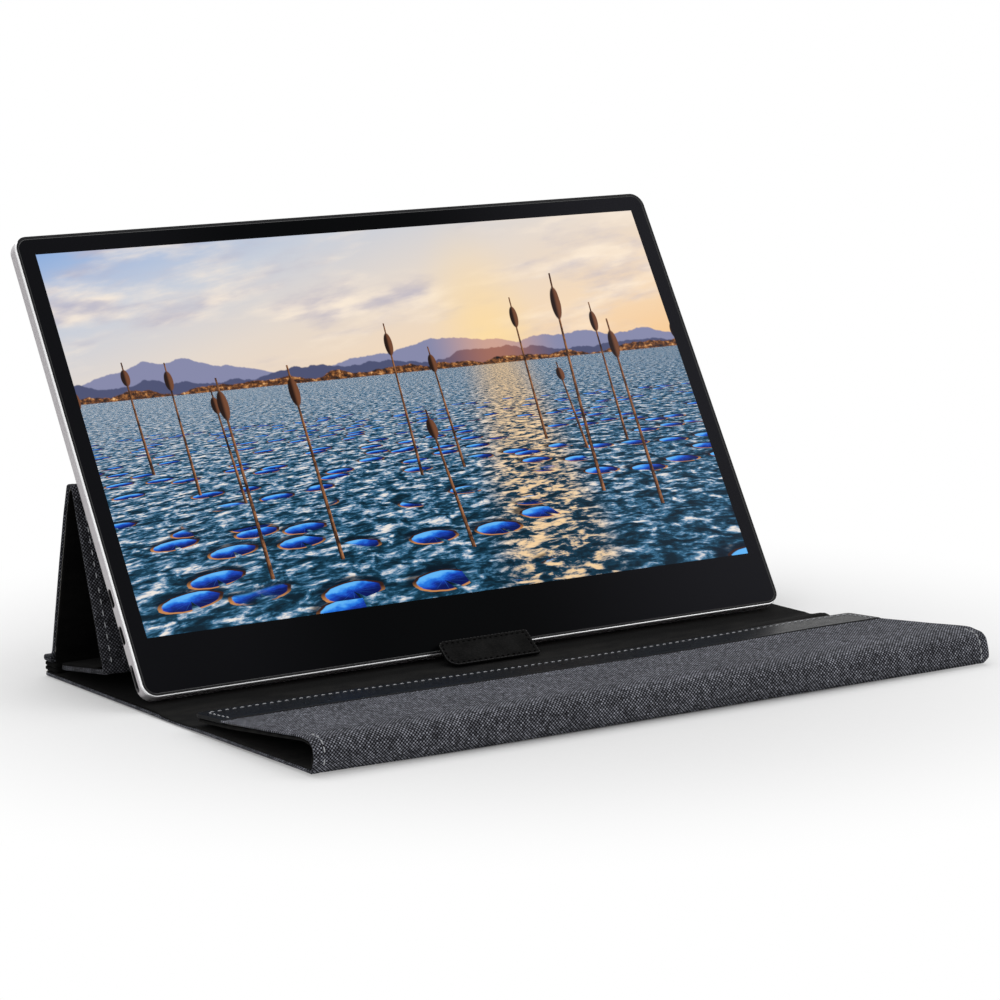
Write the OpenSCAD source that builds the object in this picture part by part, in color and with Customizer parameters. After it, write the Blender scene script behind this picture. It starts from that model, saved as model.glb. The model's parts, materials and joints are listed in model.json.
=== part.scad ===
// Portable monitor standing in its fold-up cover.
// Y runs from the cover's front edge to its rear edge, and Z is up from the table.

/* [Display] */
// Width of the lit picture
picture_w = 344.2; // [320:0.1:350]
// Height of the lit picture
picture_h = 193.6; // [175:0.1:200]
// Black border at each side of the picture
side_border = 9; // [8:0.1:12]
// Black border above the picture
top_border = 9.1; // [8:0.1:14]
// Black border below the picture
chin = 27.7; // [26:0.1:34]
// Radius of the front glass's corners, with its rim
corner_r = 6.5; // [4:0.1:12]
// Thickness of the display
display_t = 7.6; // [7.4:0.1:10]
// Angle of the screen from the table
lean = 59.2; // [56:0.1:63]
// Distance of the display's middle from the cover's middle, to the right
display_x = -2.5; // [-3:0.1:3]
// Thickness of the front glass
glass_t = 1; // [0.6:0.1:1.1]
// Width of the black rim round the glass
rim_w = 1.1; // [0.8:0.1:1.6]
// Depth of the black rim
rim_d = 2.6; // [2.4:0.1:3]
// Width of the ledge that the glass is bonded to
ledge_w = 4; // [2:0.1:5]
// How far the metal shell stands out past the rim
shell_lip = 0.5; // [0.4:0.1:1]
// Thickness of the metal shell's side walls, behind the rim
shell_wall = 1.3; // [1:0.1:1.5]
// Thickness of the metal shell's back
shell_back = 1; // [0.8:0.1:1.2]
// Radius of the metal shell's back edge
shell_edge_r = 2; // [1:0.1:2.5]

/* [Panel] */
// Thickness of the liquid crystal cell
cell_t = 1.2; // [0.8:0.1:1.3]
// Thickness of the diffuser sheets
sheets_t = 0.5; // [0.3:0.1:0.6]
// Thickness of the light guide
guide_t = 1.6; // [1:0.1:1.7]
// Thickness of the reflector sheet
reflector_t = 0.2; // [0.1:0.05:0.3]
// Thickness of the panel frame's back
frame_back = 0.3; // [0.2:0.05:0.4]
// Width of the panel frame's sides
frame_w = 1.7; // [1:0.1:2]
// Thickness of the circuit boards
pcb_t = 0.8; // [0.6:0.1:1]

/* [Sockets and buttons] */
// Depth of the socket row behind the front face
port_d = 4.9; // [4.7:0.1:5]
// Height of the upper socket on the screen
port_upper = 50.2; // [46:0.1:56]
// Height of the middle socket on the screen
port_middle = 32; // [28:0.1:36]
// Height of the lowest socket on the screen
port_lower = 11; // [10:0.1:14]
// Width of the two upper sockets
usb_w = 8.94; // [8.9:0.01:9]
// Thickness of the two upper sockets
usb_t = 3.2; // [3.1:0.01:3.3]
// Width of the lowest socket
hdmi_w = 11.2; // [11:0.1:11.4]
// Thickness of the lowest socket
hdmi_t = 3.1; // [3:0.1:3.2]
// Length of the sockets, from mouth to board
port_len = 6.6; // [6:0.1:6.6]
// Height of the power button on the screen
power_v = 60; // [55:1:70]
// Length of the power button
power_len = 9; // [7:0.1:10]
// Height of the menu rocker on the screen
rocker_v = 82; // [80:1:90]
// Length of the menu rocker
rocker_len = 15; // [12:0.1:16]
// Width of both buttons
button_w = 2; // [1.6:0.1:2.2]
// Travel of the power button
button_travel = 0.4; // [0.3:0.1:0.5]

/* [Cover] */
// Width of the cover
cover_w = 371; // [369:1:380]
// Distance from the screen's foot to the rear fold of the base
rear_fold = 17; // [16:0.5:20]
// Distance from the screen's foot to the rear edge of the base
rear_depth = 97; // [95:0.5:102]
// Width of the soft band between the base's two boards
band_len = 27; // [20:0.5:32]
// Length of the front board of the base, to the axis of the front spine's fold
front_len = 101; // [98:0.5:110]
// Thickness of the outer cloth with its backing
cloth_t = 0.9; // [0.7:0.05:1]
// Thickness of the lining
lining_t = 0.7; // [0.5:0.05:0.8]
// Thickness of the boards in the base
base_board_t = 1; // [0.9:0.1:1.4]
// Thickness of the boards in the stand
stand_board_t = 1.7; // [1.4:0.1:2]
// Thickness of the board in the front spine
spine_board_t = 1.4; // [1:0.1:1.6]
// Thickness of the board in the flap
flap_board_t = 0.9; // [0.7:0.1:1]
// Length of the front spine, from fold to fold
spine_len = 10.8; // [10:0.1:14]
// Angle of the front spine from the table
spine_angle = 91; // [90:0.5:94]
// Radius of the cloth's turn under the front spine
under_r = 1.6; // [1.4:0.1:1.8]
// Radius of the cloth's turn over the front spine
over_r = 3; // [2.6:0.1:3.4]
// Length of the flap from its fold to its tip
flap_len = 98.5; // [85:0.5:100]
// Width of the binding at the flap's tip
binding_w = 25; // [18:0.5:28]
// Radius of the flap's two free corners
flap_corner = 4; // [2:0.5:8]
// Height of the flap's tip over the lining
flap_tip_gap = 1.5; // [1:0.1:3]

/* [Stand] */
// Length of the stand's rear panel
stand_back_len = 85.5; // [82:0.5:90]
// Length of the leg
leg_len = 88; // [84:0.5:90]
// Gap between the foot's rear end and the folded rear spine
foot_clear = 4; // [2:0.5:8]
// Height of the foot's rear end over the lining
foot_end_rise = 2.5; // [2.2:0.1:3.5]
// Height of the fold between leg and foot
foot_rise = 10.4; // [9.5:0.1:12]
// Thickness of the two lower layers of the folded rear spine
layer_t = 2.2; // [2:0.1:2.4]
// Thickness of the top layer of the rear spine
roll_t = 3; // [2.6:0.1:3.2]
// Length of the rear spine's layers
layer_len = 13; // [11:0.5:14]
// Distance of the stand's rear fold from the rear edge of the base
rear_inset = 9; // [8:0.5:10]
// Radius of the cloth's turn under the stand's rear panel
turn_r = 1.3; // [1.1:0.1:1.5]

/* [Stop tab] */
// Width of the tab
tab_w = 50; // [40:1:60]
// Length of the tab
tab_len = 17.8; // [16.5:0.1:17.8]
// Thickness of the tab
tab_t = 2; // [1.6:0.1:2]
// Distance of the tab's sewn edge in front of the screen's foot
tab_y = 14.8; // [14.7:0.1:15.2]
// Distance of the tab's middle from the cover's middle, to the right
tab_x = -2.5; // [-8:0.1:8]
// Radius of the tab's two left corners; the right ones are square
tab_corner = 5; // [3:0.5:6]

/* [Hidden] */
$fn = 64;

// Room between soft pieces that lie on each other, and at a fold
rest_gap = 0.3;
fold_slit = 0.15;
over = 1;

// Display sizes
glass_w = picture_w + 2 * side_border;
glass_h = picture_h + top_border + chin;
picture_v = chin + picture_h / 2;
shell_w = glass_w + 2 * shell_lip;
bond_gap = 0.05;
chamfer = 0.5;
inner_back = display_t - shell_back;
cell_d = glass_t;
sheets_d = cell_d + cell_t;
guide_d = sheets_d + sheets_t;
reflector_d = guide_d + guide_t;
panel_back_d = reflector_d + reflector_t + frame_back;
panel_margin = 0.6;
bar_h = 1.4;
bar_gap = 0.1;
pcb_d = inner_back - 0.2 - pcb_t;
wall_in = glass_w / 2 - shell_wall + shell_lip;

// Cover sizes
base_t = cloth_t + base_board_t + lining_t;
stand_t = cloth_t + stand_board_t + lining_t;
spine_t = cloth_t + spine_board_t + lining_t;
flap_t = cloth_t + flap_board_t + lining_t;
band_fold_setback = 3;
front_fold_y = -rear_fold - band_len;
front_axis_y = front_fold_y - front_len;
rear_base_len = rear_fold + rear_depth;
foot_setback = 7;

// The display stands on the lining on its rounded rear edge
edge_v = shell_edge_r - shell_lip;
edge_d = display_t - shell_edge_r;
display_z = base_t + rest_gap + shell_edge_r - edge_v * sin(lean) + edge_d * cos(lean);

// Front spine: the lower fold's axis, then the upper one's
spine_out = over_r - under_r;
over_axis = [
    front_axis_y + spine_len * cos(spine_angle) + spine_out * sin(spine_angle),
    under_r + spine_len * sin(spine_angle) - spine_out * cos(spine_angle)
];
flap_drop = over_axis[1] + over_r - flap_t - base_t - flap_tip_gap;
flap_angle = -asin(flap_drop / flap_len);

// Stand: axis of the rear fold, apex and foot fold, found from the panel lengths
stack_top = base_t + 2 * layer_t + roll_t;
rear_axis = [rear_depth - rear_inset, stack_top + turn_r + 0.1];
apex_reach = norm([stand_back_len, stand_t + fold_slit - turn_r]);
back_point = [display_t * sin(lean), display_z - display_t * cos(lean)];
back_dir = [cos(lean), sin(lean)];
back_normal = [sin(lean), -cos(lean)];
apex_gap = stand_t + fold_slit + rest_gap;
from_back = back_point + apex_gap * back_normal - rear_axis;
along = from_back * back_dir;
apex_run = -along + sqrt(along * along - from_back * from_back + apex_reach * apex_reach);
apex = rear_axis + from_back + apex_run * back_dir;
apex_turn = atan((stand_t + fold_slit - turn_r) / stand_back_len);
stand_back_angle = atan2(apex[1] - rear_axis[1], apex[0] - rear_axis[0]) - apex_turn;
leg_reach = norm([leg_len, stand_t + fold_slit - cloth_t]);
leg_turn = atan((stand_t + fold_slit - cloth_t) / leg_len);
leg_slope = asin((apex[1] - foot_rise) / leg_reach);
foot_axis = [apex[0] - leg_reach * cos(leg_slope), foot_rise];
leg_angle = leg_slope + leg_turn;
foot_run = rear_depth - layer_len - foot_clear - foot_axis[0];
foot_angle = -atan((foot_rise - cloth_t - base_t - foot_end_rise) / foot_run);
foot_len = foot_run / cos(foot_angle);

// Tab: it leans back against the glass over the display's lower edge
tab_axis_z = base_t + tab_t / 2 - 0.2;
tab_angle = 25.5;

// Magnets
magnet = [20, 6, 0.8];
magnet_row = [-120, -40, 40, 120];

// The part's origin is under the middle of its whole depth
front_y = over_axis[0] - over_r;
rear_y = (glass_h - edge_v) * cos(lean) + edge_d * sin(lean) + shell_edge_r;
origin_y = (front_y + rear_y) / 2;

module in_cover() {
    translate([0, -origin_y, 0]) children();
}

// Display frame: X across, Y into the depth from the front face, Z up the screen
module in_display() {
    in_cover() translate([display_x, 0, display_z]) rotate([lean - 90, 0, 0]) children();
}

// Panel frame: Y along the panel from its fold, Z from the outer cloth to the lining
module in_panel(axis, angle, depth, flip) {
    in_cover() translate([0, axis[0], axis[1]]) rotate([angle, 0, 0])
        mirror([0, 0, flip ? 1 : 0]) translate([0, 0, -depth]) children();
}

module rounded(w, h, r) {
    square([w - 2 * r, h], center = true);
    square([w, h - 2 * r], center = true);
    for (sx = [-1, 1], sy = [-1, 1])
        translate([sx * (w / 2 - r), sy * (h / 2 - r)]) circle(r);
}

module block(w, y0, y1, z0, z1) {
    translate([-w / 2, y0, z0]) cube([w, y1 - y0, z1 - z0]);
}

// ---- Cover panels ----

// Outer cloth: a sheet turned up round the panel's edges; it stops short at a folded end
module skin(w, len, t, near, far) {
    difference() {
        block(w, near > 0 ? fold_slit : 0, len - (far > 0 ? fold_slit : 0), 0, t);
        block(w - 2 * cloth_t, near > 0 ? -over : cloth_t,
              len + (far > 0 ? over : -cloth_t), cloth_t, t + over);
        if (near > 0) block(w + over, -over, near, cloth_t, t + over);
        if (far > 0) block(w + over, len - far, len + over, cloth_t, t + over);
    }
}

module filling(w, len, near, far, z0, z1) {
    block(w - 2 * cloth_t, max(near, cloth_t), len - max(far, cloth_t), z0, z1);
}

module on_rear_base() { in_cover() translate([0, -rear_fold, 0]) children(); }
module on_band() { in_cover() translate([0, front_fold_y, 0]) children(); }
module on_front_base() { in_cover() translate([0, front_axis_y, 0]) children(); }
module on_spine() { in_panel([front_axis_y, under_r], spine_angle, under_r, true) children(); }
module on_flap() { in_panel(over_axis, flap_angle, over_r, true) children(); }
module on_stand_back() { in_panel(rear_axis, stand_back_angle, turn_r, false) children(); }
module on_leg() { in_panel(foot_axis, leg_angle, cloth_t, true) children(); }
module on_foot() { in_panel(foot_axis, foot_angle, cloth_t, false) children(); }

module magnet_bars(y, z, grow) {
    for (x = magnet_row)
        translate([x, y, z]) cube([magnet[0] + grow, magnet[1] + grow, magnet[2]], center = true);
}

magnet_clear = 8;
base_magnet_y = rear_base_len - layer_len - foot_clear - magnet_clear;
base_magnet_z = base_t - lining_t - magnet[2] / 2;

module rear_base_cloth() {
    color("#3f424b") on_rear_base() skin(cover_w, rear_base_len, base_t, band_fold_setback, 0);
}

module rear_base_board() {
    color("#77746d") on_rear_base() difference() {
        filling(cover_w, rear_base_len, band_fold_setback, 0, cloth_t, base_t - lining_t);
        magnet_bars(base_magnet_y, base_magnet_z + over / 2, 0.1);
        magnet_bars(base_magnet_y, base_magnet_z, 0.1);
    }
}

module rear_base_lining() {
    color("#232324") on_rear_base()
        filling(cover_w, rear_base_len, band_fold_setback, 0, base_t - lining_t, base_t);
}

module base_magnets() {
    color("silver") on_rear_base() magnet_bars(base_magnet_y, base_magnet_z, 0);
}

// One layer of the folded rear spine, round at its rear end
module spine_layer(t, z) {
    translate([0, rear_depth - t / 2, z + t / 2]) rotate([0, 90, 0])
        cylinder(h = cover_w, r = t / 2, center = true);
    block(cover_w, rear_depth - layer_len, rear_depth - t / 2, z, z + t);
}

module rear_spine() {
    color("#2a2b30") in_cover() {
        for (i = [0, 1]) spine_layer(layer_t, base_t + i * layer_t);
        spine_layer(roll_t, base_t + 2 * layer_t);
        translate([0, rear_axis[0], rear_axis[1]]) rotate([0, 90, 0])
            cylinder(h = cover_w, r = turn_r, center = true);
        block(cover_w, rear_axis[0] - turn_r / 2, rear_axis[0] + turn_r / 2,
              stack_top - over, rear_axis[1]);
    }
}

module band_cloth() {
    color("#3f424b") on_band()
        block(cover_w, fold_slit, band_len - fold_slit, 0, cloth_t);
}

module band_lining() {
    color("#232324") on_band()
        block(cover_w - 2 * cloth_t, band_fold_setback / 2, band_len - band_fold_setback / 2,
              cloth_t, cloth_t + lining_t);
}

// Setback of the front board from the front spine's fold
front_setback = spine_t - under_r + 1;

module front_base_cloth() {
    color("#3f424b") on_front_base() {
        skin(cover_w, front_len, base_t, front_setback, band_fold_setback);
        translate([0, 0, under_r]) rotate([0, 90, 0]) cylinder(h = cover_w, r = under_r, center = true);
    }
}

module front_base_board() {
    color("#77746d") on_front_base()
        filling(cover_w, front_len, front_setback, band_fold_setback, cloth_t, base_t - lining_t);
}

module front_base_lining() {
    color("#232324") on_front_base()
        filling(cover_w, front_len, front_setback, band_fold_setback, base_t - lining_t, base_t);
}

// The spine's cloth starts clear of the lower turn and ends in the upper one
spine_start = under_r + rest_gap;

module spine_cloth() {
    color("#3f424b") on_spine() {
        difference() {
            block(cover_w, spine_start, spine_len, 0, spine_t);
            block(cover_w - 2 * cloth_t, -over, spine_len - over_r, cloth_t, spine_t + over);
        }
        translate([0, spine_len, over_r]) rotate([0, 90, 0])
            cylinder(h = cover_w, r = over_r, center = true);
    }
}

module spine_board() {
    color("#77746d") on_spine()
        block(cover_w - 2 * cloth_t, spine_start, spine_len - over_r, cloth_t, spine_t - lining_t);
}

module spine_lining() {
    color("#232324") on_spine()
        block(cover_w - 2 * cloth_t, spine_start, spine_len - over_r, spine_t - lining_t, spine_t);
}

// ---- Flap ----

flap_start = over_r + rest_gap;
flap_w = cover_w - 1;
binding_start = flap_len - binding_w;
binding_return = 7;

// The flap's plan, with its two free corners rounded
module flap_plan(inset, y0, y1) {
    half = flap_w / 2 - inset;
    tip = flap_len - inset;
    r = flap_corner - inset;
    intersection() {
        translate([-half, y0]) square([2 * half, y1 - y0]);
        union() {
            translate([-half, -over]) square([2 * half, tip - r + over]);
            translate([-half + r, -over]) square([2 * (half - r), tip + over]);
            for (s = [-1, 1]) translate([s * (half - r), tip - r]) circle(r);
        }
    }
}

module flap_sheet(inset, y0, y1, z0, z1) {
    translate([0, 0, z0]) linear_extrude(z1 - z0) flap_plan(inset, y0, y1);
}

module flap_cloth() {
    color("#4b4f5a") on_flap() difference() {
        flap_sheet(0, flap_start, binding_start, 0, flap_t);
        flap_sheet(cloth_t, flap_start - over, flap_len, cloth_t, flap_t + over);
    }
}

flap_magnet_y = binding_start + 8;
flap_magnet_z = cloth_t + flap_board_t / 2;

module flap_board() {
    color("#77746d") on_flap() difference() {
        flap_sheet(cloth_t, flap_start, flap_len, cloth_t, flap_t - lining_t);
        for (side = [-1, 1])
            magnet_bars(flap_magnet_y, flap_magnet_z + side * magnet[2] / 2, 0.1);
    }
}

module flap_magnets() {
    color("silver") on_flap() magnet_bars(flap_magnet_y, flap_magnet_z, 0);
}

module flap_lining() {
    color("#232324") on_flap()
        flap_sheet(cloth_t, flap_start, flap_len - binding_return, flap_t - lining_t, flap_t);
}

// Smooth binding, turned round the flap's tip
module flap_binding() {
    color("#18181a") on_flap() difference() {
        flap_sheet(0, binding_start, flap_len, 0, flap_t);
        flap_sheet(cloth_t, binding_start - over, flap_len, cloth_t, flap_t - lining_t);
        flap_sheet(cloth_t, binding_start - over, flap_len - binding_return,
                   cloth_t, flap_t + over);
    }
}

// ---- Stop tab ----

module on_tab() {
    in_cover() translate([tab_x, -tab_y, tab_axis_z]) rotate([tab_angle, 0, 0]) children();
}

module tab_plan(inset) {
    w = tab_w - 2 * inset;
    len = tab_len - 2 * inset;
    r = tab_corner - inset;
    translate([0, tab_len / 2]) {
        translate([r / 2, 0]) square([w - r, len], center = true);
        square([w, len - 2 * r], center = true);
        for (s = [-1, 1]) translate([r - w / 2, s * (len / 2 - r)]) circle(r);
    }
}

tab_core_t = tab_t - 1.2;

module stop_tab() {
    color("#1b1b1d") on_tab() difference() {
        translate([0, 0, -tab_t / 2]) linear_extrude(tab_t) tab_plan(0);
        translate([0, 0, -tab_core_t / 2]) linear_extrude(tab_core_t) tab_plan(2);
    }
}

module tab_stiffener() {
    color("#77746d") on_tab()
        translate([0, 0, -tab_core_t / 2]) linear_extrude(tab_core_t) tab_plan(2);
}

// ---- Stand ----

stand_start = turn_r + rest_gap;

module stand_skin(len, start, setback) {
    difference() {
        block(cover_w, start, len, 0, stand_t);
        block(cover_w - 2 * cloth_t, start - over, len - cloth_t, cloth_t, stand_t + over);
        if (setback > 0) block(cover_w + over, -over, setback, cloth_t, stand_t + over);
    }
}

module stand_filling(len, start, z0, z1) {
    block(cover_w - 2 * cloth_t, start, len - cloth_t, z0, z1);
}

module stand_back_cloth() {
    color("#34363d") on_stand_back() stand_skin(stand_back_len, stand_start, 0);
}

module stand_back_board() {
    color("#77746d") on_stand_back()
        stand_filling(stand_back_len, stand_start, cloth_t, stand_t - lining_t);
}

module stand_back_lining() {
    color("#232324") on_stand_back()
        stand_filling(stand_back_len, stand_start, stand_t - lining_t, stand_t);
}

module leg_cloth() {
    color("#34363d") on_leg() stand_skin(leg_len, fold_slit, foot_setback);
}

module leg_board() {
    color("#77746d") on_leg() stand_filling(leg_len, foot_setback, cloth_t, stand_t - lining_t);
}

module leg_lining() {
    color("#232324") on_leg() stand_filling(leg_len, foot_setback, stand_t - lining_t, stand_t);
}

foot_t = stand_t - 0.3;
foot_magnet_y = foot_len - magnet_clear;
foot_magnet_z = cloth_t + magnet[2] / 2;

module foot_cloth() {
    color("#34363d") on_foot() difference() {
        block(cover_w, fold_slit, foot_len, 0, foot_t);
        block(cover_w - 2 * cloth_t, -over, foot_len - cloth_t, cloth_t, foot_t + over);
        block(cover_w + over, -over, foot_setback, cloth_t, foot_t + over);
    }
}

module foot_board() {
    color("#77746d") on_foot() difference() {
        stand_filling(foot_len, foot_setback, cloth_t, foot_t - lining_t);
        magnet_bars(foot_magnet_y, foot_magnet_z, 0.1);
        magnet_bars(foot_magnet_y, foot_magnet_z - 0.1, 0.1);
    }
}

module foot_lining() {
    color("#232324") on_foot() stand_filling(foot_len, foot_setback, foot_t - lining_t, foot_t);
}

module foot_magnets() {
    color("silver") on_foot() magnet_bars(foot_magnet_y, foot_magnet_z, 0);
}

// ---- Display ----

// A flat shape drawn on the screen, made into a plate at depth d
module plate(d, t) {
    translate([0, d + t, 0]) rotate([90, 0, 0]) linear_extrude(t) children();
}

module outline(inset) {
    translate([0, glass_h / 2])
        rounded(glass_w - 2 * inset, glass_h - 2 * inset, corner_r - inset);
}

// A flat shape across the depth and up the screen, pushed out along X
module along_x(x, len) {
    translate([x, 0, 0]) rotate([90, 0, 90]) linear_extrude(len) children();
}

module pill(t, w) {
    square([t, w - t], center = true);
    for (s = [-1, 1]) translate([0, s * (w - t) / 2]) circle(t / 2);
}

slice = 0.01;

// The shell's outer form: a bright chamfer in front, straight sides and a round back edge
module shell_form() {
    hull() {
        plate(chamfer, slice) outline(0, $fn = 48);
        plate(chamfer + shell_lip, slice) outline(-shell_lip, $fn = 48);
        for (a = [0 : 22.5 : 90]) {
            inset = shell_edge_r * (1 - cos(a)) - shell_lip;
            depth = edge_d + shell_edge_r * sin(a) - slice;
            plate(depth, slice) outline(inset, $fn = 48);
        }
    }
}

grille_slot = [1, 8];
grille_pitch = 2.4;
grille_count = 16;
speaker = [60, 3.4, 14.5];
speaker_x = 92;
speaker_v = 11.5;
port_clear = 0.15;
hdmi_seat = 1;
button_clear = 0.25;

module shell_cuts() {
    for (v = [port_upper, port_middle])
        along_x(-shell_w / 2 - over, shell_wall + 2 * over)
            translate([port_d, v]) pill(usb_t + 2 * port_clear, usb_w + 2 * port_clear);
    along_x(-shell_w / 2 - over, shell_wall + 2 * over)
        translate([port_d, port_lower]) pill(hdmi_t + 2 * port_clear, hdmi_w + 2 * hdmi_seat);
    for (b = [[power_v, power_len], [rocker_v, rocker_len]])
        along_x(shell_w / 2 - shell_wall - over, shell_wall + 2 * over)
            translate([port_d, b[0]])
                pill(button_w + 2 * button_clear, b[1] + 2 * button_clear);
    for (side = [-1, 1], i = [0 : grille_count - 1])
        translate([side * speaker_x + (i - (grille_count - 1) / 2) * grille_pitch,
                   inner_back + shell_back / 2, speaker_v])
            cube([grille_slot[0], shell_back + over, grille_slot[1]], center = true);
}

module rear_shell() {
    color("#b9b7bb") in_display() difference() {
        shell_form();
        plate(-over, over + rim_d + bond_gap) outline(-bond_gap);
        plate(rim_d, inner_back - rim_d) outline(shell_wall - shell_lip);
        shell_cuts();
    }
}

module front_rim() {
    color("#111113") in_display() difference() {
        plate(0, rim_d) outline(0);
        plate(-over, over + glass_t) outline(rim_w);
        plate(0, rim_d + over) outline(rim_w + ledge_w);
    }
}

module cover_glass() {
    color("#0c0c0e") in_display() plate(0, glass_t) outline(rim_w);
}

// A sheet of the panel, centred on the picture; margins past the picture at the sides and foot
module panel_sheet(d, t, side, foot) {
    translate([-picture_w / 2 - side, d, chin - foot])
        cube([picture_w + 2 * side, t, picture_h + side + foot]);
}

module lcd_cell() {
    color("#28324a") in_display() panel_sheet(cell_d, cell_t, 2 * panel_margin, 3.4);
}

module diffuser_sheets() {
    color("white") in_display() panel_sheet(sheets_d, sheets_t, panel_margin, panel_margin);
}

module light_guide() {
    color("#dfe9ee") in_display() panel_sheet(guide_d, guide_t, panel_margin, panel_margin);
}

module reflector_sheet() {
    color("#f0f0f0") in_display() panel_sheet(reflector_d, reflector_t, panel_margin, panel_margin);
}

bar_foot = panel_margin + bar_gap + bar_h;

module led_bar() {
    color("#f4efc2") in_display() difference() {
        panel_sheet(guide_d, guide_t, -2, bar_foot);
        panel_sheet(guide_d - over, guide_t + 2 * over, over, panel_margin + bar_gap);
    }
}

// Pressed frame that holds the sheets and the light bar, with a thin back
module panel_frame() {
    color("#8d8f93") in_display() difference() {
        panel_sheet(sheets_d, panel_back_d - sheets_d, panel_margin + bar_gap + frame_w,
                    bar_foot + bar_gap + 1);
        panel_sheet(sheets_d - over, over + panel_back_d - frame_back - sheets_d,
                    panel_margin + bar_gap, bar_foot + bar_gap);
    }
}

port_recess = 0.4;
driver_w = 46;
driver_h = 56;
driver_x = -shell_w / 2 + port_recess + port_len;
board_foot = 3;
timing_w = 120;
timing_v = 13.5;
timing_h = 10;
cable_t = 0.3;
cable_h = 4;
cable_lap = 4;
chip_t = 0.8;

module driver_board() {
    color("#1f5a3a") in_display()
        translate([driver_x, pcb_d, board_foot]) cube([driver_w, pcb_t, driver_h]);
}

// Places on the board, from its lower left corner, and sizes: scaler, power chip, memory, coils
scaler = [12, 32, 14, 14];
power_chip = [10, 8, 9, 9];
memory_chip = [30, 34, 6, 8];
coil = [30, 6, 5, 3];
coil_pitch = 6;

module chip(c, step) {
    translate([driver_x + c[0], pcb_d - chip_t, board_foot + c[1] + step]) cube([c[2], chip_t, c[3]]);
}

module driver_chips() {
    color("#1c1c1e") in_display() {
        for (c = [scaler, power_chip, memory_chip]) chip(c, 0);
        for (i = [0 : 2]) chip(coil, i * coil_pitch);
    }
}

module timing_board() {
    color("#1f5a3a") in_display()
        translate([-timing_w / 2, pcb_d, timing_v]) cube([timing_w, pcb_t, timing_h]);
}

module display_cable() {
    start = driver_x + driver_w - cable_lap;
    color("#c9a24a") in_display()
        translate([start, pcb_d - cable_t, timing_v + timing_h - cable_h - 0.5])
            cube([cable_lap - timing_w / 2 - start, cable_t, cable_h]);
}

module speakers() {
    color("#26272a") in_display() for (side = [-1, 1])
        translate([side * speaker_x, 0, speaker_v]) plate(inner_back - speaker[1], speaker[1])
            rounded(speaker[0], speaker[2], 3);
}

module usb_socket(v) {
    wall = 0.3;
    tongue = [5.6, 0.7, 6.7];
    mouth = -shell_w / 2 + port_recess;
    difference() {
        along_x(mouth, port_len) translate([port_d, v]) pill(usb_t, usb_w);
        along_x(mouth - over, port_len - wall + over)
            translate([port_d, v]) pill(usb_t - 2 * wall, usb_w - 2 * wall);
    }
    translate([mouth + port_len - tongue[0], port_d - tongue[1] / 2, v - tongue[2] / 2])
        cube(tongue);
}

module usb_c_ports() {
    color("#d5d6d8") in_display() for (v = [port_upper, port_middle]) usb_socket(v);
}

// The lowest socket's shell has two cut corners on the side next to the back
module hdmi_section(wall) {
    t = hdmi_t / 2 - wall;
    w = hdmi_w / 2 - wall;
    cut = 1.3;
    polygon([[-t, -w], [t - cut, -w], [t, -w + cut], [t, w - cut], [t - cut, w], [-t, w]]);
}

module mini_hdmi_port() {
    wall = 0.3;
    tongue = [5.6, 0.7, 8.2];
    mouth = -shell_w / 2 + port_recess;
    color("#d5d6d8") in_display() {
        difference() {
            along_x(mouth, port_len) translate([port_d, port_lower]) hdmi_section(0);
            along_x(mouth - over, port_len - wall + over)
                translate([port_d, port_lower]) hdmi_section(wall);
        }
        translate([mouth + port_len - tongue[0], port_d - 0.1, port_lower - tongue[2] / 2])
            cube(tongue);
    }
}

flange_t = 0.8;
flange_grow = 0.6;
button_proud = 0.3;
rocker_play = 0.5;
switch_t = 1;
switch_board_x = wall_in - flange_t - rocker_play - switch_t - pcb_t;

// A pill that stands out through the wall, with a flange behind the wall
module side_button(v, len, play) {
    along_x(wall_in - play - flange_t, shell_w / 2 - wall_in + play + flange_t + button_proud)
        translate([port_d, v]) pill(button_w, len);
    along_x(wall_in - play - flange_t, flange_t)
        translate([port_d, v]) pill(button_w + 2 * flange_grow, len + 2 * flange_grow);
}

module power_button() {
    color("#a9a8ac") in_display() side_button(power_v, power_len, 0);
}

module menu_rocker() {
    color("#a9a8ac") in_display() side_button(rocker_v, rocker_len, rocker_play);
}

// Small upright board with the switch bodies behind the buttons
switch_size = 3;
switch_offset = 5;
switch_gap = 0.05;
board_front = panel_back_d - 2;

// A switch body whose face stands back from the button's flange
module switch_body(v, back) {
    face = wall_in - flange_t - back;
    translate([switch_board_x + pcb_t, port_d - switch_size / 2, v - switch_size / 2])
        cube([face - switch_board_x - pcb_t, switch_size, switch_size]);
}

module button_board() {
    v0 = power_v - power_len;
    v1 = rocker_v + rocker_len / 2 + switch_size;
    color("#1f5a3a") in_display() {
        translate([switch_board_x, board_front, v0]) cube([pcb_t, inner_back - board_front, v1 - v0]);
        switch_body(power_v, button_travel + switch_gap);
        for (s = [-1, 1])
            switch_body(rocker_v + s * switch_offset, rocker_play + rest_gap);
    }
}

rear_base_cloth();
rear_base_board();
rear_base_lining();
base_magnets();
rear_spine();
band_cloth();
band_lining();
front_base_cloth();
front_base_board();
front_base_lining();
spine_cloth();
spine_board();
spine_lining();
flap_cloth();
flap_board();
flap_lining();
flap_binding();
flap_magnets();
stop_tab();
tab_stiffener();
stand_back_cloth();
stand_back_board();
stand_back_lining();
leg_cloth();
leg_board();
leg_lining();
foot_cloth();
foot_board();
foot_lining();
foot_magnets();
rear_shell();
front_rim();
cover_glass();
lcd_cell();
diffuser_sheets();
light_guide();
reflector_sheet();
led_bar();
panel_frame();
timing_board();
display_cable();
driver_board();
driver_chips();
speakers();
usb_c_ports();
mini_hdmi_port();
button_board();
power_button();
menu_rocker();
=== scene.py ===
import json
import math

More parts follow.
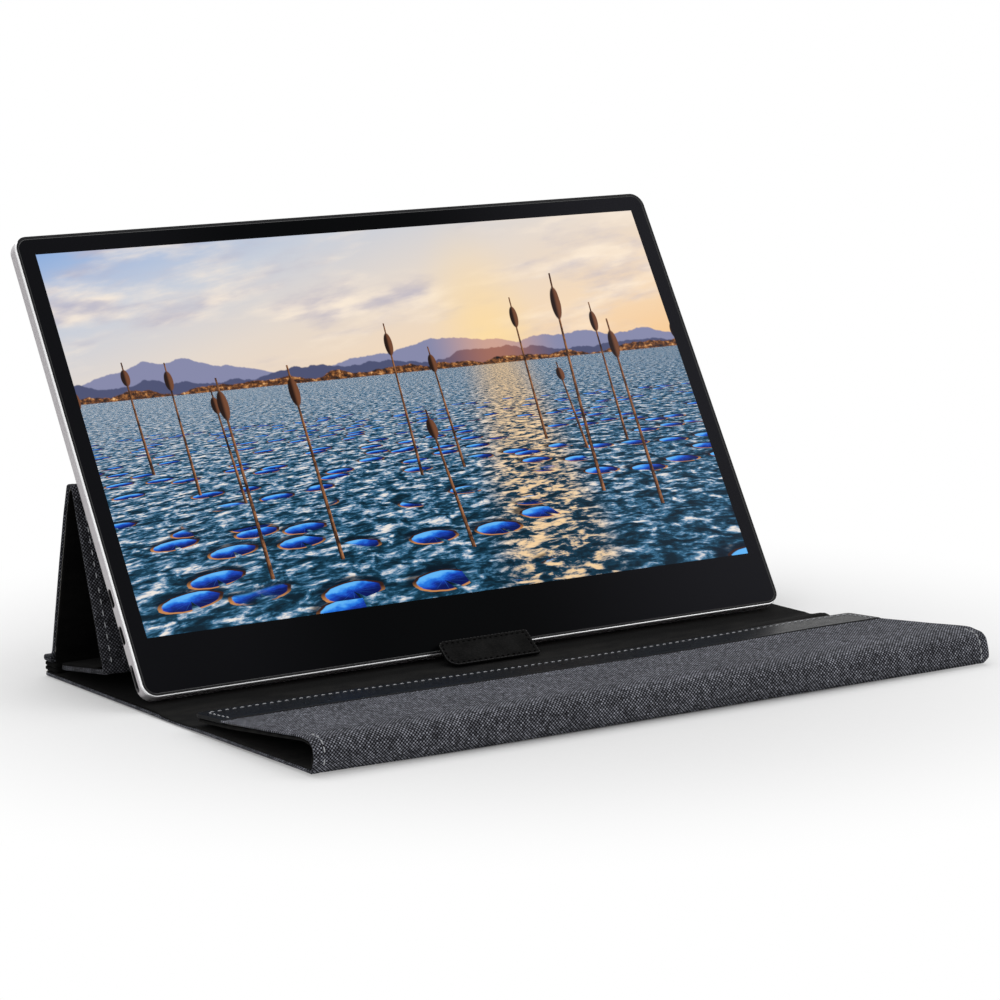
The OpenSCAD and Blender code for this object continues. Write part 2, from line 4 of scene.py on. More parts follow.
import bpy
import numpy as np
from mathutils import Matrix, Vector


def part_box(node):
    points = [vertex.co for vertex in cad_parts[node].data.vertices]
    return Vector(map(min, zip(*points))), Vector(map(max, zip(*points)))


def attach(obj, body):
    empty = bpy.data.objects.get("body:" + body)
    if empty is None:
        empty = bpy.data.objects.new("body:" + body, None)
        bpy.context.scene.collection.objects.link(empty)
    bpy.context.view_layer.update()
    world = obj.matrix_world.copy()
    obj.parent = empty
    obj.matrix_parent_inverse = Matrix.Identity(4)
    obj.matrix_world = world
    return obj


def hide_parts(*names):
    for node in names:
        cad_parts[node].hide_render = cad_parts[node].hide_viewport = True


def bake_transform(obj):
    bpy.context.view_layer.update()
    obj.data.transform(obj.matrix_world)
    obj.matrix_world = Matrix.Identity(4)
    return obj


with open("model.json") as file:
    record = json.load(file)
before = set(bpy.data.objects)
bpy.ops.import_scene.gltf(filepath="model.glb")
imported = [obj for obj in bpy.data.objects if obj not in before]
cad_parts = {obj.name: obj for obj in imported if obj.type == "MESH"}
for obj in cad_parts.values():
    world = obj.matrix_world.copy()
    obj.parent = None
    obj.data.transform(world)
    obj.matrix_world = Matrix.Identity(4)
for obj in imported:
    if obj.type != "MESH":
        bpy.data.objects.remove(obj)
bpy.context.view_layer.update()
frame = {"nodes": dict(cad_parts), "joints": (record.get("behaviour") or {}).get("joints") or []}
mm = 0.001
joints = {j["name"]: j for j in frame["joints"]}
bandFoldY = -17.0  # from the screen's foot
shiftY = joints["band_fold"]["pos_m"][1] / mm - bandFoldY  # from the screen's foot to the frame's origin
print("frame loaded,", len(frame["nodes"]), "nodes")


# Camera
view = {
    "place": (-944.3, -1414.2, 371.7),
    "yaw": 33.993,  # degrees, to the right of +y
    "pitch": 9.822,  # degrees, downwards
    "roll": -0.588,
    "lens": 131.07,
    "reach": 20,  # metres
}


def cameraTurn(yaw, pitch, roll):
    # forward from yaw and pitch, then the right and up axes turned about it by roll
    y, p, r = (math.radians(a) for a in (yaw, pitch, roll))
    forward = Vector((math.sin(y) * math.cos(p), math.cos(y) * math.cos(p), -math.sin(p)))
    right = Vector((math.cos(y), -math.sin(y), 0))
    up = right.cross(forward)
    rolledRight = right * math.cos(r) + up * math.sin(r)
    rolledUp = -right * math.sin(r) + up * math.cos(r)
    return Matrix((rolledRight, rolledUp, -forward)).transposed()


def makeCamera():
    data = bpy.data.cameras.new("camera")
    data.lens = view["lens"]
    data.clip_end = view["reach"]
    camera = bpy.data.objects.new("camera", data)
    x, y, z = view["place"]
    camera.matrix_world = Matrix.Translation((x * mm, (y + shiftY) * mm, z * mm)) @ cameraTurn(
        view["yaw"], view["pitch"], view["roll"]
    ).to_4x4()
    bpy.context.scene.collection.objects.link(camera)
    bpy.context.scene.camera = camera


# Shader words
class Wire:
    # a socket that adds a Math node for each sum, difference, product and quotient
    def __init__(self, finish, socket):
        self.finish, self.socket = finish, socket

    def math(self, operation, *others):
        return self.finish.node("Math", {"operation": operation}, dict(enumerate((self, *others))))

    def __add__(self, other):
        return self.math("ADD", other)

    def __radd__(self, other):
        return self.math("ADD", other)

    def __sub__(self, other):
        return self.math("SUBTRACT", other)

    def __rsub__(self, other):
        return self.finish.node("Math", {"operation": "SUBTRACT"}, {0: other, 1: self})

    def __mul__(self, other):
        return self.math("MULTIPLY", other)

    def __rmul__(self, other):
        return self.math("MULTIPLY", other)

    def __truediv__(self, other):
        return self.math("DIVIDE", other)

    def __rtruediv__(self, other):
        return self.finish.node("Math", {"operation": "DIVIDE"}, {0: other, 1: self})

    def __gt__(self, other):
        return self.math("GREATER_THAN", other)

    def __lt__(self, other):
        return self.math("LESS_THAN", other)


class Finish:
    # the node tree of a material, or of the world, whose nodes are added by kind
    def __init__(self, name, owner=None):
        self.owner = owner or bpy.data.materials.new(name)
        self.owner.use_nodes = True
        self.tree = self.owner.node_tree
        self.tree.nodes.clear()

    def node(self, kind, settings=None, inputs=None, out=0):
        made = self.tree.nodes.new("ShaderNode" + kind)
        for key, value in (settings or {}).items():
            if key == "stops":
                ramp = made.color_ramp
                while len(ramp.elements) < len(value):
                    ramp.elements.new(0.5)
                for element, (place, colour) in zip(ramp.elements, value):
                    element.position, element.color = place, (*colour, 1)
            else:
                setattr(made, key, value)
        for key, value in (inputs or {}).items():
            if isinstance(value, Wire):
                self.tree.links.new(value.socket, made.inputs[key])
            elif isinstance(value, tuple) and made.inputs[key].type == "RGBA":
                made.inputs[key].default_value = (*value[:3], 1)
            else:
                made.inputs[key].default_value = value
        return Wire(self, made.outputs[out]) if made.outputs else None

    def also(self, wire, out):
        # another output of the node that a wire comes from
        return Wire(self, wire.socket.node.outputs[out])

    def vectorOf(self, x, y, z=0.0):
        return self.node("CombineXYZ", None, {0: x, 1: y, 2: z})

    def lengthOf(self, vector):
        return self.node("VectorMath", {"operation": "LENGTH"}, {0: vector}, 1)

    def scaled(self, vector, share):
        # a vector or a colour times a number
        return self.node("VectorMath", {"operation": "SCALE"}, {0: vector, "Scale": share})

    def mapped(self, vector, scale, shift=(0, 0, 0)):
        return self.node("Mapping", None, {"Vector": vector, "Scale": scale, "Location": shift})

    def colours(self, value, *stops):
        # a colour from a row of (place, colour) stops
        return self.node("ValToRGB", {"stops": stops}, {0: value})

    def drawn(self, cell, dimensions="2D"):
        # a random number for each cell
        socket = "Vector" if dimensions == "2D" else "W"
        return self.node("TexWhiteNoise", {"noise_dimensions": dimensions}, {socket: cell})

    def parts(self, vector):
        return [self.node("SeparateXYZ", None, {0: vector}, out) for out in range(3)]

    def uv(self):
        return self.node("TexCoord", None, None, "UV")

    def place(self):
        return self.node("TexCoord", None, None, "Object")

    def noise(self, vector, scale, detail=2.0, rough=0.5):
        return self.node(
            "TexNoise", None, {"Vector": vector, "Scale": scale, "Detail": detail, "Roughness": rough}
        )

    def mixed(self, factor, first, second):
        # a colour between two colours
        return self.node("Mix", {"data_type": "RGBA"}, {0: factor, 6: first, 7: second}, 2)

    def between(self, factor, first, second):
        # a number between two numbers
        return self.node("Mix", {"data_type": "FLOAT"}, {0: factor, 2: first, 3: second})

    def ramp(self, value, low, high, toLow=0.0, toHigh=1.0, smooth=True):
        kind = "SMOOTHSTEP" if smooth else "LINEAR"
        return self.node(
            "MapRange", {"interpolation_type": kind}, {0: value, 1: low, 2: high, 3: toLow, 4: toHigh}
        )

    def bump(self, height, depth):
        # depth in millimetres
        return self.node("Bump", None, {"Height": height, "Distance": depth * mm, "Strength": 1.0})

    def coat(self, **sockets):
        # the surface shader itself, with its sockets by name
        names = {
            "colour": "Base Color",
            "rough": "Roughness",
            "metal": "Metallic",
            "normal": "Normal",
            "specular": "Specular IOR Level",
            "sheen": "Sheen Weight",
            "sheenRough": "Sheen Roughness",
            "glow": "Emission Color",
            "glowStrength": "Emission Strength",
        }
        surface = self.node("BsdfPrincipled", None, {names[key]: value for key, value in sockets.items()})
        self.node("OutputMaterial", None, {"Surface": surface})
        return self.owner


# Finishes
weave = {
    "thread": 0.86,  # width of a cell
    "wander": 0.25,  # how far the threads stray
    "depth": 0.22,
    "weftDark": (0.072, 0.074, 0.086),
    "weftLight": (0.435, 0.445, 0.51),
    "warpDark": (0.003, 0.003, 0.0045),
    "warpLight": (0.030, 0.031, 0.038),
    "tone": (0.1, 0.85),  # from the darkest to the lightest yarn
    "lit": (0.12, 1.1),  # painted shade in the gaps and painted highlight on the crowns
    "patch": (0.9, 1.1),  # broad drift of the shade
    "speck": (0.8, 1.25),  # single fibres
    "tufts": (-0.24, 0.27),
    "tuftsFrom": (311, 321),  # in threads along the cloth: the flap's upper side is fuzzier
}


def wovenCloth(name="outerCloth", strength=1.0):
    # Plain weave of heavy light weft over dark warp. A cell's height is
    # (1 - (2 across)^2) (1 - 1.8 along^2), and each cell has its own shade, as in melange yarn.
    # The height also paints shade into the gaps and a highlight onto the crowns, and a strength
    # below 1 gives a copy painted darker as shade.
    f = Finish(name)
    u, v, _ = f.parts(f.uv())
    wander = f.noise(f.uv(), 260, 1.0) - 0.5
    u = (u + wander * (weave["wander"] * mm)) / (weave["thread"] * mm)
    v = (v + wander * (weave["wander"] * mm)) / (weave["thread"] * mm)
    cellU, cellV = u.math("FLOOR"), v.math("FLOOR")
    weftUp = ((cellU + cellV) / 2).math("FRACT") * 2
    fu, fv = u.math("FRACT") - 0.5, v.math("FRACT") - 0.5
    across = f.between(weftUp, fu, fv) * 2
    along = f.between(weftUp, fv, fu)
    height = (1 - across * across) * (1 - 1.8 * (along * along))
    shade = f.drawn(f.vectorOf(cellU, cellV))
    weftRun = f.noise(f.vectorOf(cellU * 0.13, cellV), 0.9, 1.0)
    warpRun = f.drawn(f.vectorOf(cellU, (cellV * 0.25 + cellU * 0.37).math("FLOOR") + 0.5))
    tone = f.ramp(shade * 0.3 + weftRun * 0.3 + warpRun * 0.3, *weave["tone"])
    weft = f.mixed(tone, weave["weftDark"], weave["weftLight"])
    warp = f.mixed(tone, weave["warpDark"], weave["warpLight"])
    yarn = f.mixed(weftUp, warp, weft)
    # painted shade in the gaps between threads and painted highlight on their crowns: the colour follows the
    # height
    lit = f.ramp(height, -0.1, 0.9, *weave["lit"])
    patch = f.ramp(f.noise(f.uv(), 28, 3.0), 0.3, 0.7, *weave["patch"])
    speck = f.ramp(f.noise(f.uv(), 700, 2.0, 0.6), 0.36, 0.66, *weave["speck"])
    # long tufts, brushed aslant
    upper = f.ramp(v, *weave["tuftsFrom"])
    aslant = f.vectorOf(u * 0.50 - v * 0.35, u * 0.046 + v * 0.066)
    tufts = f.ramp(f.noise(aslant, 1.0, 2.0, 0.6), 0.36, 0.64, *weave["tufts"])
    # strength below 1 darkens the whole colour: painted shade on a copy of the cloth
    grey = lit * patch * speck * (tufts * upper + 1) * strength
    return f.coat(
        colour=f.scaled(yarn, grey), rough=f.ramp(height, 0, 1, 0.95, 0.8), specular=0.05,
        sheen=0.03, sheenRough=0.5, normal=f.bump(height, weave["depth"]),
    )


suede = {
    "dark": (0.006, 0.006, 0.0062),
    "light": (0.0135, 0.0131, 0.0125),
    "fleck": (0.045, 0.042, 0.04),
    "paintedShadeFrom": -0.0045,  # metres along the frame's y: from the display's foot back the colour is painted darker, a painted shade where the display keeps the light off the lining (the stand's lining too)
    "paintedShadeTo": 0.0025,
    "paintedShadeLevel": 0.3,
    "depth": 0.12,
}


def microSuede(name="liningSuede"):
    # short black nap: mottled by brushing, with fine fibres, and painted shade from the display's foot back
    f = Finish(name)
    where = f.place()
    brushed = f.noise(f.mapped(where, (60, 160, 160)), 1.0, 4.0, 0.6)
    fibre = f.noise(where, 2600, 2.0, 0.6)
    fleck = f.ramp(f.noise(where, 900, 2.0, 0.7), 0.66, 0.8)
    base = f.mixed(f.ramp(brushed, 0.32, 0.7), suede["dark"], suede["light"])
    _, toRear, _ = f.parts(where)
    # painted shade: behind the display's foot the colour drops to 0.3 of itself
    fade = f.ramp(toRear, suede["paintedShadeFrom"], suede["paintedShadeTo"], 1.0, suede["paintedShadeLevel"])
    return f.coat(
        colour=f.scaled(f.mixed(fleck * 0.5, base, suede["fleck"]), fade),
        rough=f.ramp(fibre, 0.3, 0.7, 0.85, 1.0), specular=0.04,
        sheen=0.01, sheenRough=0.6, normal=f.bump(fibre + brushed * 2, suede["depth"]),
    )


def smoothBinding(name="bindingLeather"):
    # smooth black coated cloth with a very fine pore
    f = Finish(name)
    where = f.place()
    pore = f.node("TexVoronoi", {"feature": "DISTANCE_TO_EDGE"}, {"Vector": where, "Scale": 1500})
    crease = f.noise(where, 220, 3.0)
    colour = f.mixed(crease, (0.008, 0.0084, 0.0094), (0.012, 0.0125, 0.014))
    height = f.ramp(pore, 0.0, 0.25) + crease * 0.6
    return f.coat(
        colour=colour, rough=f.ramp(crease, 0.3, 0.7, 0.27, 0.34), specular=0.027,
        normal=f.bump(height, 0.025),
    )


def grainedLeather(name="tabLeather"):
    # fine pebbled grain, lighter on its high spots and darker in the hollows between them; its roughness
    # drifts with a broader noise
    f = Finish(name)
    where = f.place()
    pebble = f.node(
        "TexVoronoi", {"feature": "SMOOTH_F1"}, {"Vector": where, "Scale": 900, "Smoothness": 0.6}
    )
    rub = f.noise(where, 120, 3.0)
    colour = f.mixed(f.ramp(pebble, 0.1, 0.6), (0.0055, 0.0052, 0.005), (0.0018, 0.0018, 0.0018))
    return f.coat(
        colour=colour, rough=f.ramp(rub, 0.3, 0.7, 0.5, 0.68), specular=0.03,
        normal=f.bump(1 - pebble, 0.07),
    )


def thread(name, dark, light, sheen=0.2):
    # twisted sewing thread: slanted plies along the stitch
    f = Finish(name)
    where = f.place()
    ply = f.node(
        "TexWave", {"bands_direction": "DIAGONAL"}, {"Vector": where, "Scale": 700, "Distortion": 1.0}
    )
    return f.coat(
        colour=f.mixed(ply, dark, light), rough=f.ramp(ply, 0, 1, 0.75, 0.5), sheen=sheen,
        specular=0.02 + sheen, normal=f.bump(ply, 0.08),
    )


def plain(name, dark, light, rough=0.6, metal=0.0, grain=400, depth=0.02, stretch=(1, 1, 1), specular=0.5):
    # a finish whose colour and roughness drift with a noise of one size
    f = Finish(name)
    drift = f.noise(f.mapped(f.place(), stretch), grain, 4.0, 0.6)
    return f.coat(
        colour=f.mixed(f.ramp(drift, 0.3, 0.7), dark, light),
        rough=f.ramp(drift, 0.3, 0.7, rough * 0.88, min(1.0, rough * 1.1)),
        metal=metal, specular=specular, normal=f.bump(drift, depth),
    )


rimLow, rimHigh = (np.array(corner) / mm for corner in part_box("front_rim"))
display = {
    "lean": math.radians(59.2),
    "width": rimHigh[0] - rimLow[0],
    "height": 230.4,
    "corner": 6.5,
    "picture": (172.1, 27.7, 221.3),  # half width, lowest and highest line
    "rim": 1.1,
    "rimDepth": 2.6,
    "glass": 1.0,
}
# middle of the lower edge of the display's face
display["foot"] = (
    (rimLow[0] + rimHigh[0]) / 2, 0.0, rimHigh[2] - display["height"] * math.sin(display["lean"])
)


def screenPlace(f, where):
    # millimetres across the screen, into it and up it, from an Object coordinate
    x, y, z = f.parts(where)
    dx, dy, dz = display["foot"]
    c, s = math.cos(display["lean"]), math.sin(display["lean"])
    x = x / mm - dx
    y = y / mm - (dy + shiftY)
    z = z / mm - dz
    return x, y * s - z * c, y * c + z * s


shellMetal = {
    "satin": ((0.56, 0.535, 0.55), (0.62, 0.595, 0.61)),
    "chamfer": (0.93, 0.93, 0.94),
    "chamferDeep": (1.0, 1.15),  # where the bright cut ends, from the face
}


def anodised(name="shellMetal"):
    # bead-blasted and anodised, with a machined chamfer round its front edge: its near-white colour is partly
    # the bare metal and partly a painted highlight
    f = Finish(name)
    where = f.place()
    _, depth, _ = screenPlace(f, where)
    blast = f.noise(where, 3000, 2.0, 0.6)
    # the chamfer's near-white colour: partly bare cut metal, partly a painted highlight
    chamfer = 1 - f.ramp(depth, *shellMetal["chamferDeep"])
    satin = f.mixed(f.noise(where, 60, 3.0), *shellMetal["satin"])
    return f.coat(
        colour=f.mixed(chamfer, satin, shellMetal["chamfer"]), rough=f.between(chamfer, 0.42, 0.2),
        metal=0.6, normal=f.bump(blast * (1 - chamfer), 0.012),
    )


# The lit picture: a lake at sundown with lily leaves and reeds. Rows of colours run from low to
# high, each with its place; across runs from -1 to 1 and up from 0 to 1.
lake = {
    "horizon": 0.6,
    "sunAcross": 0.36,
    "sky": (
        (0.0, (0.93, 0.58, 0.27)), (0.25, (0.90, 0.69, 0.48)), (0.5, (0.78, 0.69, 0.61)),
        (0.72, (0.58, 0.62, 0.70)), (1.0, (0.20, 0.38, 0.72)),
    ),
    "cloud": ((0.50, 0.47, 0.55), (1.0, 0.86, 0.70)),
    "sunGlow": (1.0, 0.72, 0.32),
    "sun": (1.0, 0.95, 0.72),
    "farHills": ((0.24, 0.25, 0.40), (0.62, 0.36, 0.28)),  # away from the sun, and below it
    "middleHills": ((0.075, 0.085, 0.17), (0.36, 0.15, 0.11)),
    "trees": (
        (0.36, (0.012, 0.012, 0.014)), (0.5, (0.12, 0.045, 0.018)),
        (0.6, (0.42, 0.17, 0.05)), (0.7, (0.85, 0.55, 0.26)),
    ),
    "water": (
        (0.40, (0.002, 0.014, 0.026)), (0.475, (0.006, 0.045, 0.085)), (0.525, (0.05, 0.17, 0.30)),
        (0.565, (0.34, 0.44, 0.56)), (0.61, (0.86, 0.80, 0.74)),
    ),
    "sunOnWater": (1.0, 0.66, 0.30),
    "leafShadow": (0.001, 0.006, 0.014),
    "leaf": (
        (0.0, (0.002, 0.008, 0.10)), (0.45, (0.006, 0.045, 0.42)),
        (0.8, (0.02, 0.20, 0.78)), (1.0, (0.12, 0.46, 0.92)),
    ),
    "rib": (0.06, 0.30, 0.86),
    "leafEdge": ((0.035, 0.012, 0.008), (0.55, 0.24, 0.08)),
    "stalk": ((0.02, 0.009, 0.006), (0.50, 0.21, 0.085)),
    "ear": ((0.018, 0.008, 0.005), (0.17, 0.065, 0.03)),
}


def skyOverLake(f, across, up):
    # from warm at the lower right to blue at the upper left, with streaks of cloud and a low sun
    height = f.ramp(up, lake["horizon"], 1.0, smooth=False)
    sky = f.colours((height * 0.9 - across * 0.5 + 0.5) / 2, *lake["sky"])
    streak = f.vectorOf(across * 1.5 + up * 1.1, up * 7.0 - across * 0.9)
    cloud = f.ramp(f.noise(streak, 1.0, 7.0, 0.56), 0.45, 0.66) * f.ramp(height, 0.02, 0.3)
    cloudTint = f.mixed(f.ramp(f.noise(streak, 2.3, 5.0), 0.35, 0.62), *lake["cloud"])
    sky = f.mixed(cloud * 0.8, sky, cloudTint)
    fromSun = f.lengthOf(f.vectorOf((across - lake["sunAcross"]) * 1.75, up - lake["horizon"] - 0.03))
    glow = f.ramp(fromSun, 0.42, 0.0)
    sky = f.mixed(glow * 0.7, sky, lake["sunGlow"])
    return f.mixed(f.ramp(fromSun, 0.034, 0.028), sky, lake["sun"]), glow


def hillsBeforeSky(f, across, up, sky, glow):
    # three ridges, one before the other, the nearest with trees
    def below(level, swing, scale, seed):
        # 1 below a ridge line that wanders with noise of one number
        ridge = f.noise(f.vectorOf(across * scale + seed, seed), 1.0, 6.0, 0.52) - 0.5
        return f.ramp(up - level - ridge * swing, 0.0022, -0.0022)

    trees = f.noise(f.vectorOf(across * 60, up * 90), 1.0, 4.0, 0.65)
    land = f.mixed(below(lake["horizon"] + 0.06, 0.2, 2.3, 3.1), sky, f.mixed(glow, *lake["farHills"]))
    land = f.mixed(below(lake["horizon"] + 0.03, 0.15, 3.6, 7.7), land, f.mixed(glow, *lake["middleHills"]))
    return f.mixed(below(lake["horizon"] + 0.016, 0.075, 6.5, 11.9), land, f.colours(trees, *lake["trees"]))


def rippledWater(f, across, flat, depth):
    # a plane seen in perspective: dark troughs, blue slopes and pale crests
    bent = f.noise(f.mapped(flat, (6.0, 11.0, 1)), 1.0, 2.0) - 0.5
    bend = f.vectorOf(bent * 1.5, bent * 1.5)

    def waves(scaleX, scaleY, detail, rough):
        place = f.node("VectorMath", {"operation": "ADD"}, {0: f.mapped(flat, (scaleX, scaleY, 1)), 1: bend})
        return f.noise(place, 1.0, detail, rough)

    wave = waves(9.0, 17.0, 5.0, 0.62) * 0.62 + waves(22.0, 52.0, 3.0, 0.6) * 0.38
    level = wave + f.ramp(depth, 0.0, 1.0, 0.03, -0.022, smooth=False) - across * 0.008
    water = f.colours(level, *lake["water"])
    column = f.ramp((across - lake["sunAcross"]).math("ABSOLUTE") - depth * 0.12, 0.15, 0.0)
    return f.mixed(column * f.ramp(level, 0.47, 0.56) * 0.8, water, lake["sunOnWater"])


def leafBed(f, flat, depth, shiftX, shiftY):
    # one round leaf in some cells of the plane: the distance from its middle, 1 where
    # a leaf is, and the place from its middle
    place = f.mapped(flat, (3.5, 7.6, 1), (shiftX, shiftY, 0))
    near = f.node(
        "TexVoronoi", {"feature": "F1", "voronoi_dimensions": "2D"},
        {"Vector": place, "Scale": 1.0, "Randomness": 0.85},
    )
    chance = f.parts(f.also(near, "Color"))[0]
    offset = f.node("VectorMath", {"operation": "SUBTRACT"}, {0: place, 1: f.also(near, "Position")})
    here = f.ramp(chance * 0.55 + f.noise(place, 0.33, 2.0), 0.86, 0.88) * (depth > 0.16)
    fromX, fromY, _ = f.parts(offset)
    return near, here, fromX, fromY


def lilyLeaves(f, across, up, flat, depth, water):
    # blue leaves with ribs and a bronze edge, notched at one side, over their shadows: returns
    # the shaded water, where the leaves are, and their colour
    near, here, _, _ = leafBed(f, flat, depth, 0.05, -0.16)
    water = f.mixed(f.ramp(near, 0.47, 0.36) * here * 0.85, water, lake["leafShadow"])
    near, here, fromX, fromY = leafBed(f, flat, depth, 0.0, 0.0)
    turn = fromY.math("ARCTAN2", fromX)
    size = near + f.noise(f.vectorOf(turn * 1.6, here * 3.0), 1.0, 2.0) * 0.09
    notch = f.ramp((turn + 1.1).math("ABSOLUTE"), 0.16, 0.10) * f.ramp(size, 0.05, 0.10)
    leaf = f.ramp(size, 0.435, 0.425) * here * (1 - notch)
    ribs = f.ramp((turn * 6.5).math("SINE").math("ABSOLUTE"), 0.16, 0.05) * f.ramp(size, 0.42, 0.1)
    drift = f.noise(f.vectorOf(across * 24, up * 60), 1.0, 3.0) * 0.9
    blue = f.colours(f.ramp(fromY * 1.6 - fromX * 1.2 + drift, 0.05, 0.95), *lake["leaf"])
    blue = f.mixed(ribs * 0.4, blue, lake["rib"])
    bronze = f.mixed(f.ramp(fromY, 0.1, -0.25), *lake["leafEdge"])
    return water, leaf, f.mixed(f.ramp(size, 0.372, 0.392), blue, bronze)


def reeds(f, across, up, picture, strips, seed, foot, tall, thin, bend, head):
    # in each upright strip one leaning stalk with a thicker ear, or none
    strip = (across + seed) * strips
    cell = strip.math("FLOOR")
    first = f.drawn(cell + seed, "1D")
    second = f.drawn(cell * 1.7 + seed + 9, "1D")
    rise = up - (foot + first * 0.2)
    top = tall * (0.55 + 0.45 * second)
    lean = rise * ((second - 0.5) * bend)
    sway = rise * rise * ((first - 0.4) * bend)
    side = strip.math("FRACT") - 0.5 - (first - 0.5) * 0.5 - lean - sway
    off = side.math("ABSOLUTE")
    grown = (rise > 0) * (rise < top) * (first > 0.3)
    stalk = (off < f.ramp(rise / top, 0.0, 1.0, thin, thin * 0.45, smooth=False)) * grown
    fromEar = f.vectorOf(off / (thin * head), (rise / top - 0.86) / 0.08)
    ear = f.ramp(f.lengthOf(fromEar), 1.0, 0.85) * grown
    lit = f.ramp(side / thin, -0.9, 1.0)
    bark = f.ramp(f.noise(f.vectorOf(across * 50, up * 25), 1.0, 4.0, 0.7), 0.35, 0.62)
    picture = f.mixed(stalk, picture, f.mixed(lit * bark, *lake["stalk"]))
    return f.mixed(ear, picture, f.mixed(lit, *lake["ear"]))


def lakePicture(f, across, up):
    depth = f.ramp(up, lake["horizon"], 0.0, smooth=False)
    spread = 0.06 + depth * 0.94
    flat = f.vectorOf(across / spread, 1 / spread)
    sky, glow = skyOverLake(f, across, up)
    land = hillsBeforeSky(f, across, up, sky, glow)
    water, leaf, leafTint = lilyLeaves(f, across, up, flat, depth, rippledWater(f, across, flat, depth))
    shore = f.ramp(up, lake["horizon"] + 0.0015, lake["horizon"] - 0.0015)
    picture = f.mixed(leaf, f.mixed(shore, land, water), leafTint)
    picture = reeds(f, across, up, picture, 7.0, 3.37, 0.22, 0.42, 0.034, 0.9, 3.0)
    return reeds(f, across, up, picture, 4.6, 8.71, 0.04, 0.62, 0.030, 0.55, 2.8)


glassBlack = {
    "middle": ((0.0020, 0.0023, 0.0028), (0.0028, 0.0031, 0.0037)),
    # the grey at the ends is a painted reflection of the lamps
    "ends": (0.017, 0.017, 0.021),
}


def litScreen(name="frontGlass"):
    # satin black glass, greyer towards its ends as a painted reflection, with the lit picture behind it
    f = Finish(name)
    u, v, _ = f.parts(f.uv())
    u, v = u / mm, v / mm
    halfWidth, low, high = display["picture"]
    inside = (u.math("ABSOLUTE") < halfWidth) * (v > low) * (v < high)
    across = u / halfWidth
    picture = lakePicture(f, across, (v - low) / (high - low))
    smear = f.noise(f.place(), 14, 3.0)
    # painted reflection: greyer over the right end, and a little over the left
    ends = f.ramp(across, 0.1, 1.0) + f.ramp(across, -0.3, -0.8) * 0.35
    return f.coat(
        colour=f.mixed(ends, f.mixed(smear, *glassBlack["middle"]), glassBlack["ends"]),
        rough=f.ramp(smear, 0.3, 0.7, 0.28, 0.33), specular=0.012,
        glow=f.scaled(picture, inside), glowStrength=1.0,
    )


# All finishes
finishes = {
    "cloth": wovenCloth(),
    # the stand's cloth is the same cloth painted darker, at 0.46: painted shade for the display's shadow over
    # the stand
    "shadedStandCloth": wovenCloth("shadedStandCloth", 0.46),
    "lining": microSuede(),
    "binding": smoothBinding(),
    "tab": grainedLeather(),
    "lightThread": thread("lightThread", (0.30, 0.31, 0.33), (0.62, 0.63, 0.66)),
    "blackThread": thread("blackThread", (0.0008,) * 3, (0.002,) * 3, 0.0),
    # the tab's edge bead is lighter than the leather: painted highlight where the rounded edge catches the
    # light
    "edgePaintAndHighlight": plain("edgePaintAndHighlight", (0.016,) * 3, (0.024, 0.024, 0.023), 0.5, grain=900, specular=0.15),
    "metal": anodised(),
    "glass": litScreen(),
    "rim": plain("rimPlastic", (0.004, 0.004, 0.005), (0.006, 0.006, 0.007), 0.45, grain=900, specular=0.15),
    "board": plain("greyBoard", (0.10, 0.095, 0.085), (0.19, 0.18, 0.16), 0.9, grain=700, depth=0.05),
    "magnet": plain("magnetNickel", (0.52, 0.51, 0.49), (0.62, 0.61, 0.59), 0.28, 1.0, grain=500),
    "socket": plain("socketSteel", (0.06, 0.06, 0.062), (0.11, 0.11, 0.112), 0.35, 0.9, grain=1500),
    "glassEdge": plain("glassEdge", (0.012, 0.0125, 0.014), (0.018, 0.0185, 0.02), 0.25, grain=600),
    "button": plain("buttonMetal", (0.46, 0.45, 0.46), (0.55, 0.54, 0.55), 0.4, 1.0, grain=2500),
    "lcd": plain("lcdGlass", (0.01, 0.014, 0.03), (0.016, 0.022, 0.045), 0.12, grain=80, depth=0.001),
    "film": plain("diffuserFilm", (0.72, 0.72, 0.71), (0.78, 0.78, 0.77), 0.35, grain=120, depth=0.002),
    "clear": plain("lightGuide", (0.62, 0.68, 0.70), (0.68, 0.74, 0.76), 0.1, grain=1400, depth=0.01),
    "led": plain("ledBar", (0.72, 0.68, 0.42), (0.85, 0.82, 0.60), 0.4, grain=260),
    "steel": plain(
        "frameSteel", (0.40, 0.41, 0.42), (0.50, 0.51, 0.52), 0.38, 1.0, grain=90, stretch=(1, 12, 12)
    ),
    "circuit": plain("circuitBoard", (0.004, 0.06, 0.022), (0.012, 0.11, 0.045), 0.35, grain=700, depth=0.03),
    "cable": plain("cableFilm", (0.34, 0.17, 0.03), (0.44, 0.24, 0.05), 0.3, grain=300),
    "chip": plain("chipPlastic", (0.012, 0.012, 0.013), (0.02, 0.02, 0.021), 0.5, grain=2000),
    "speaker": plain("speakerBox", (0.01, 0.01, 0.011), (0.016, 0.016, 0.017), 0.6, grain=1200),
}
print("finishes made,", len(finishes))


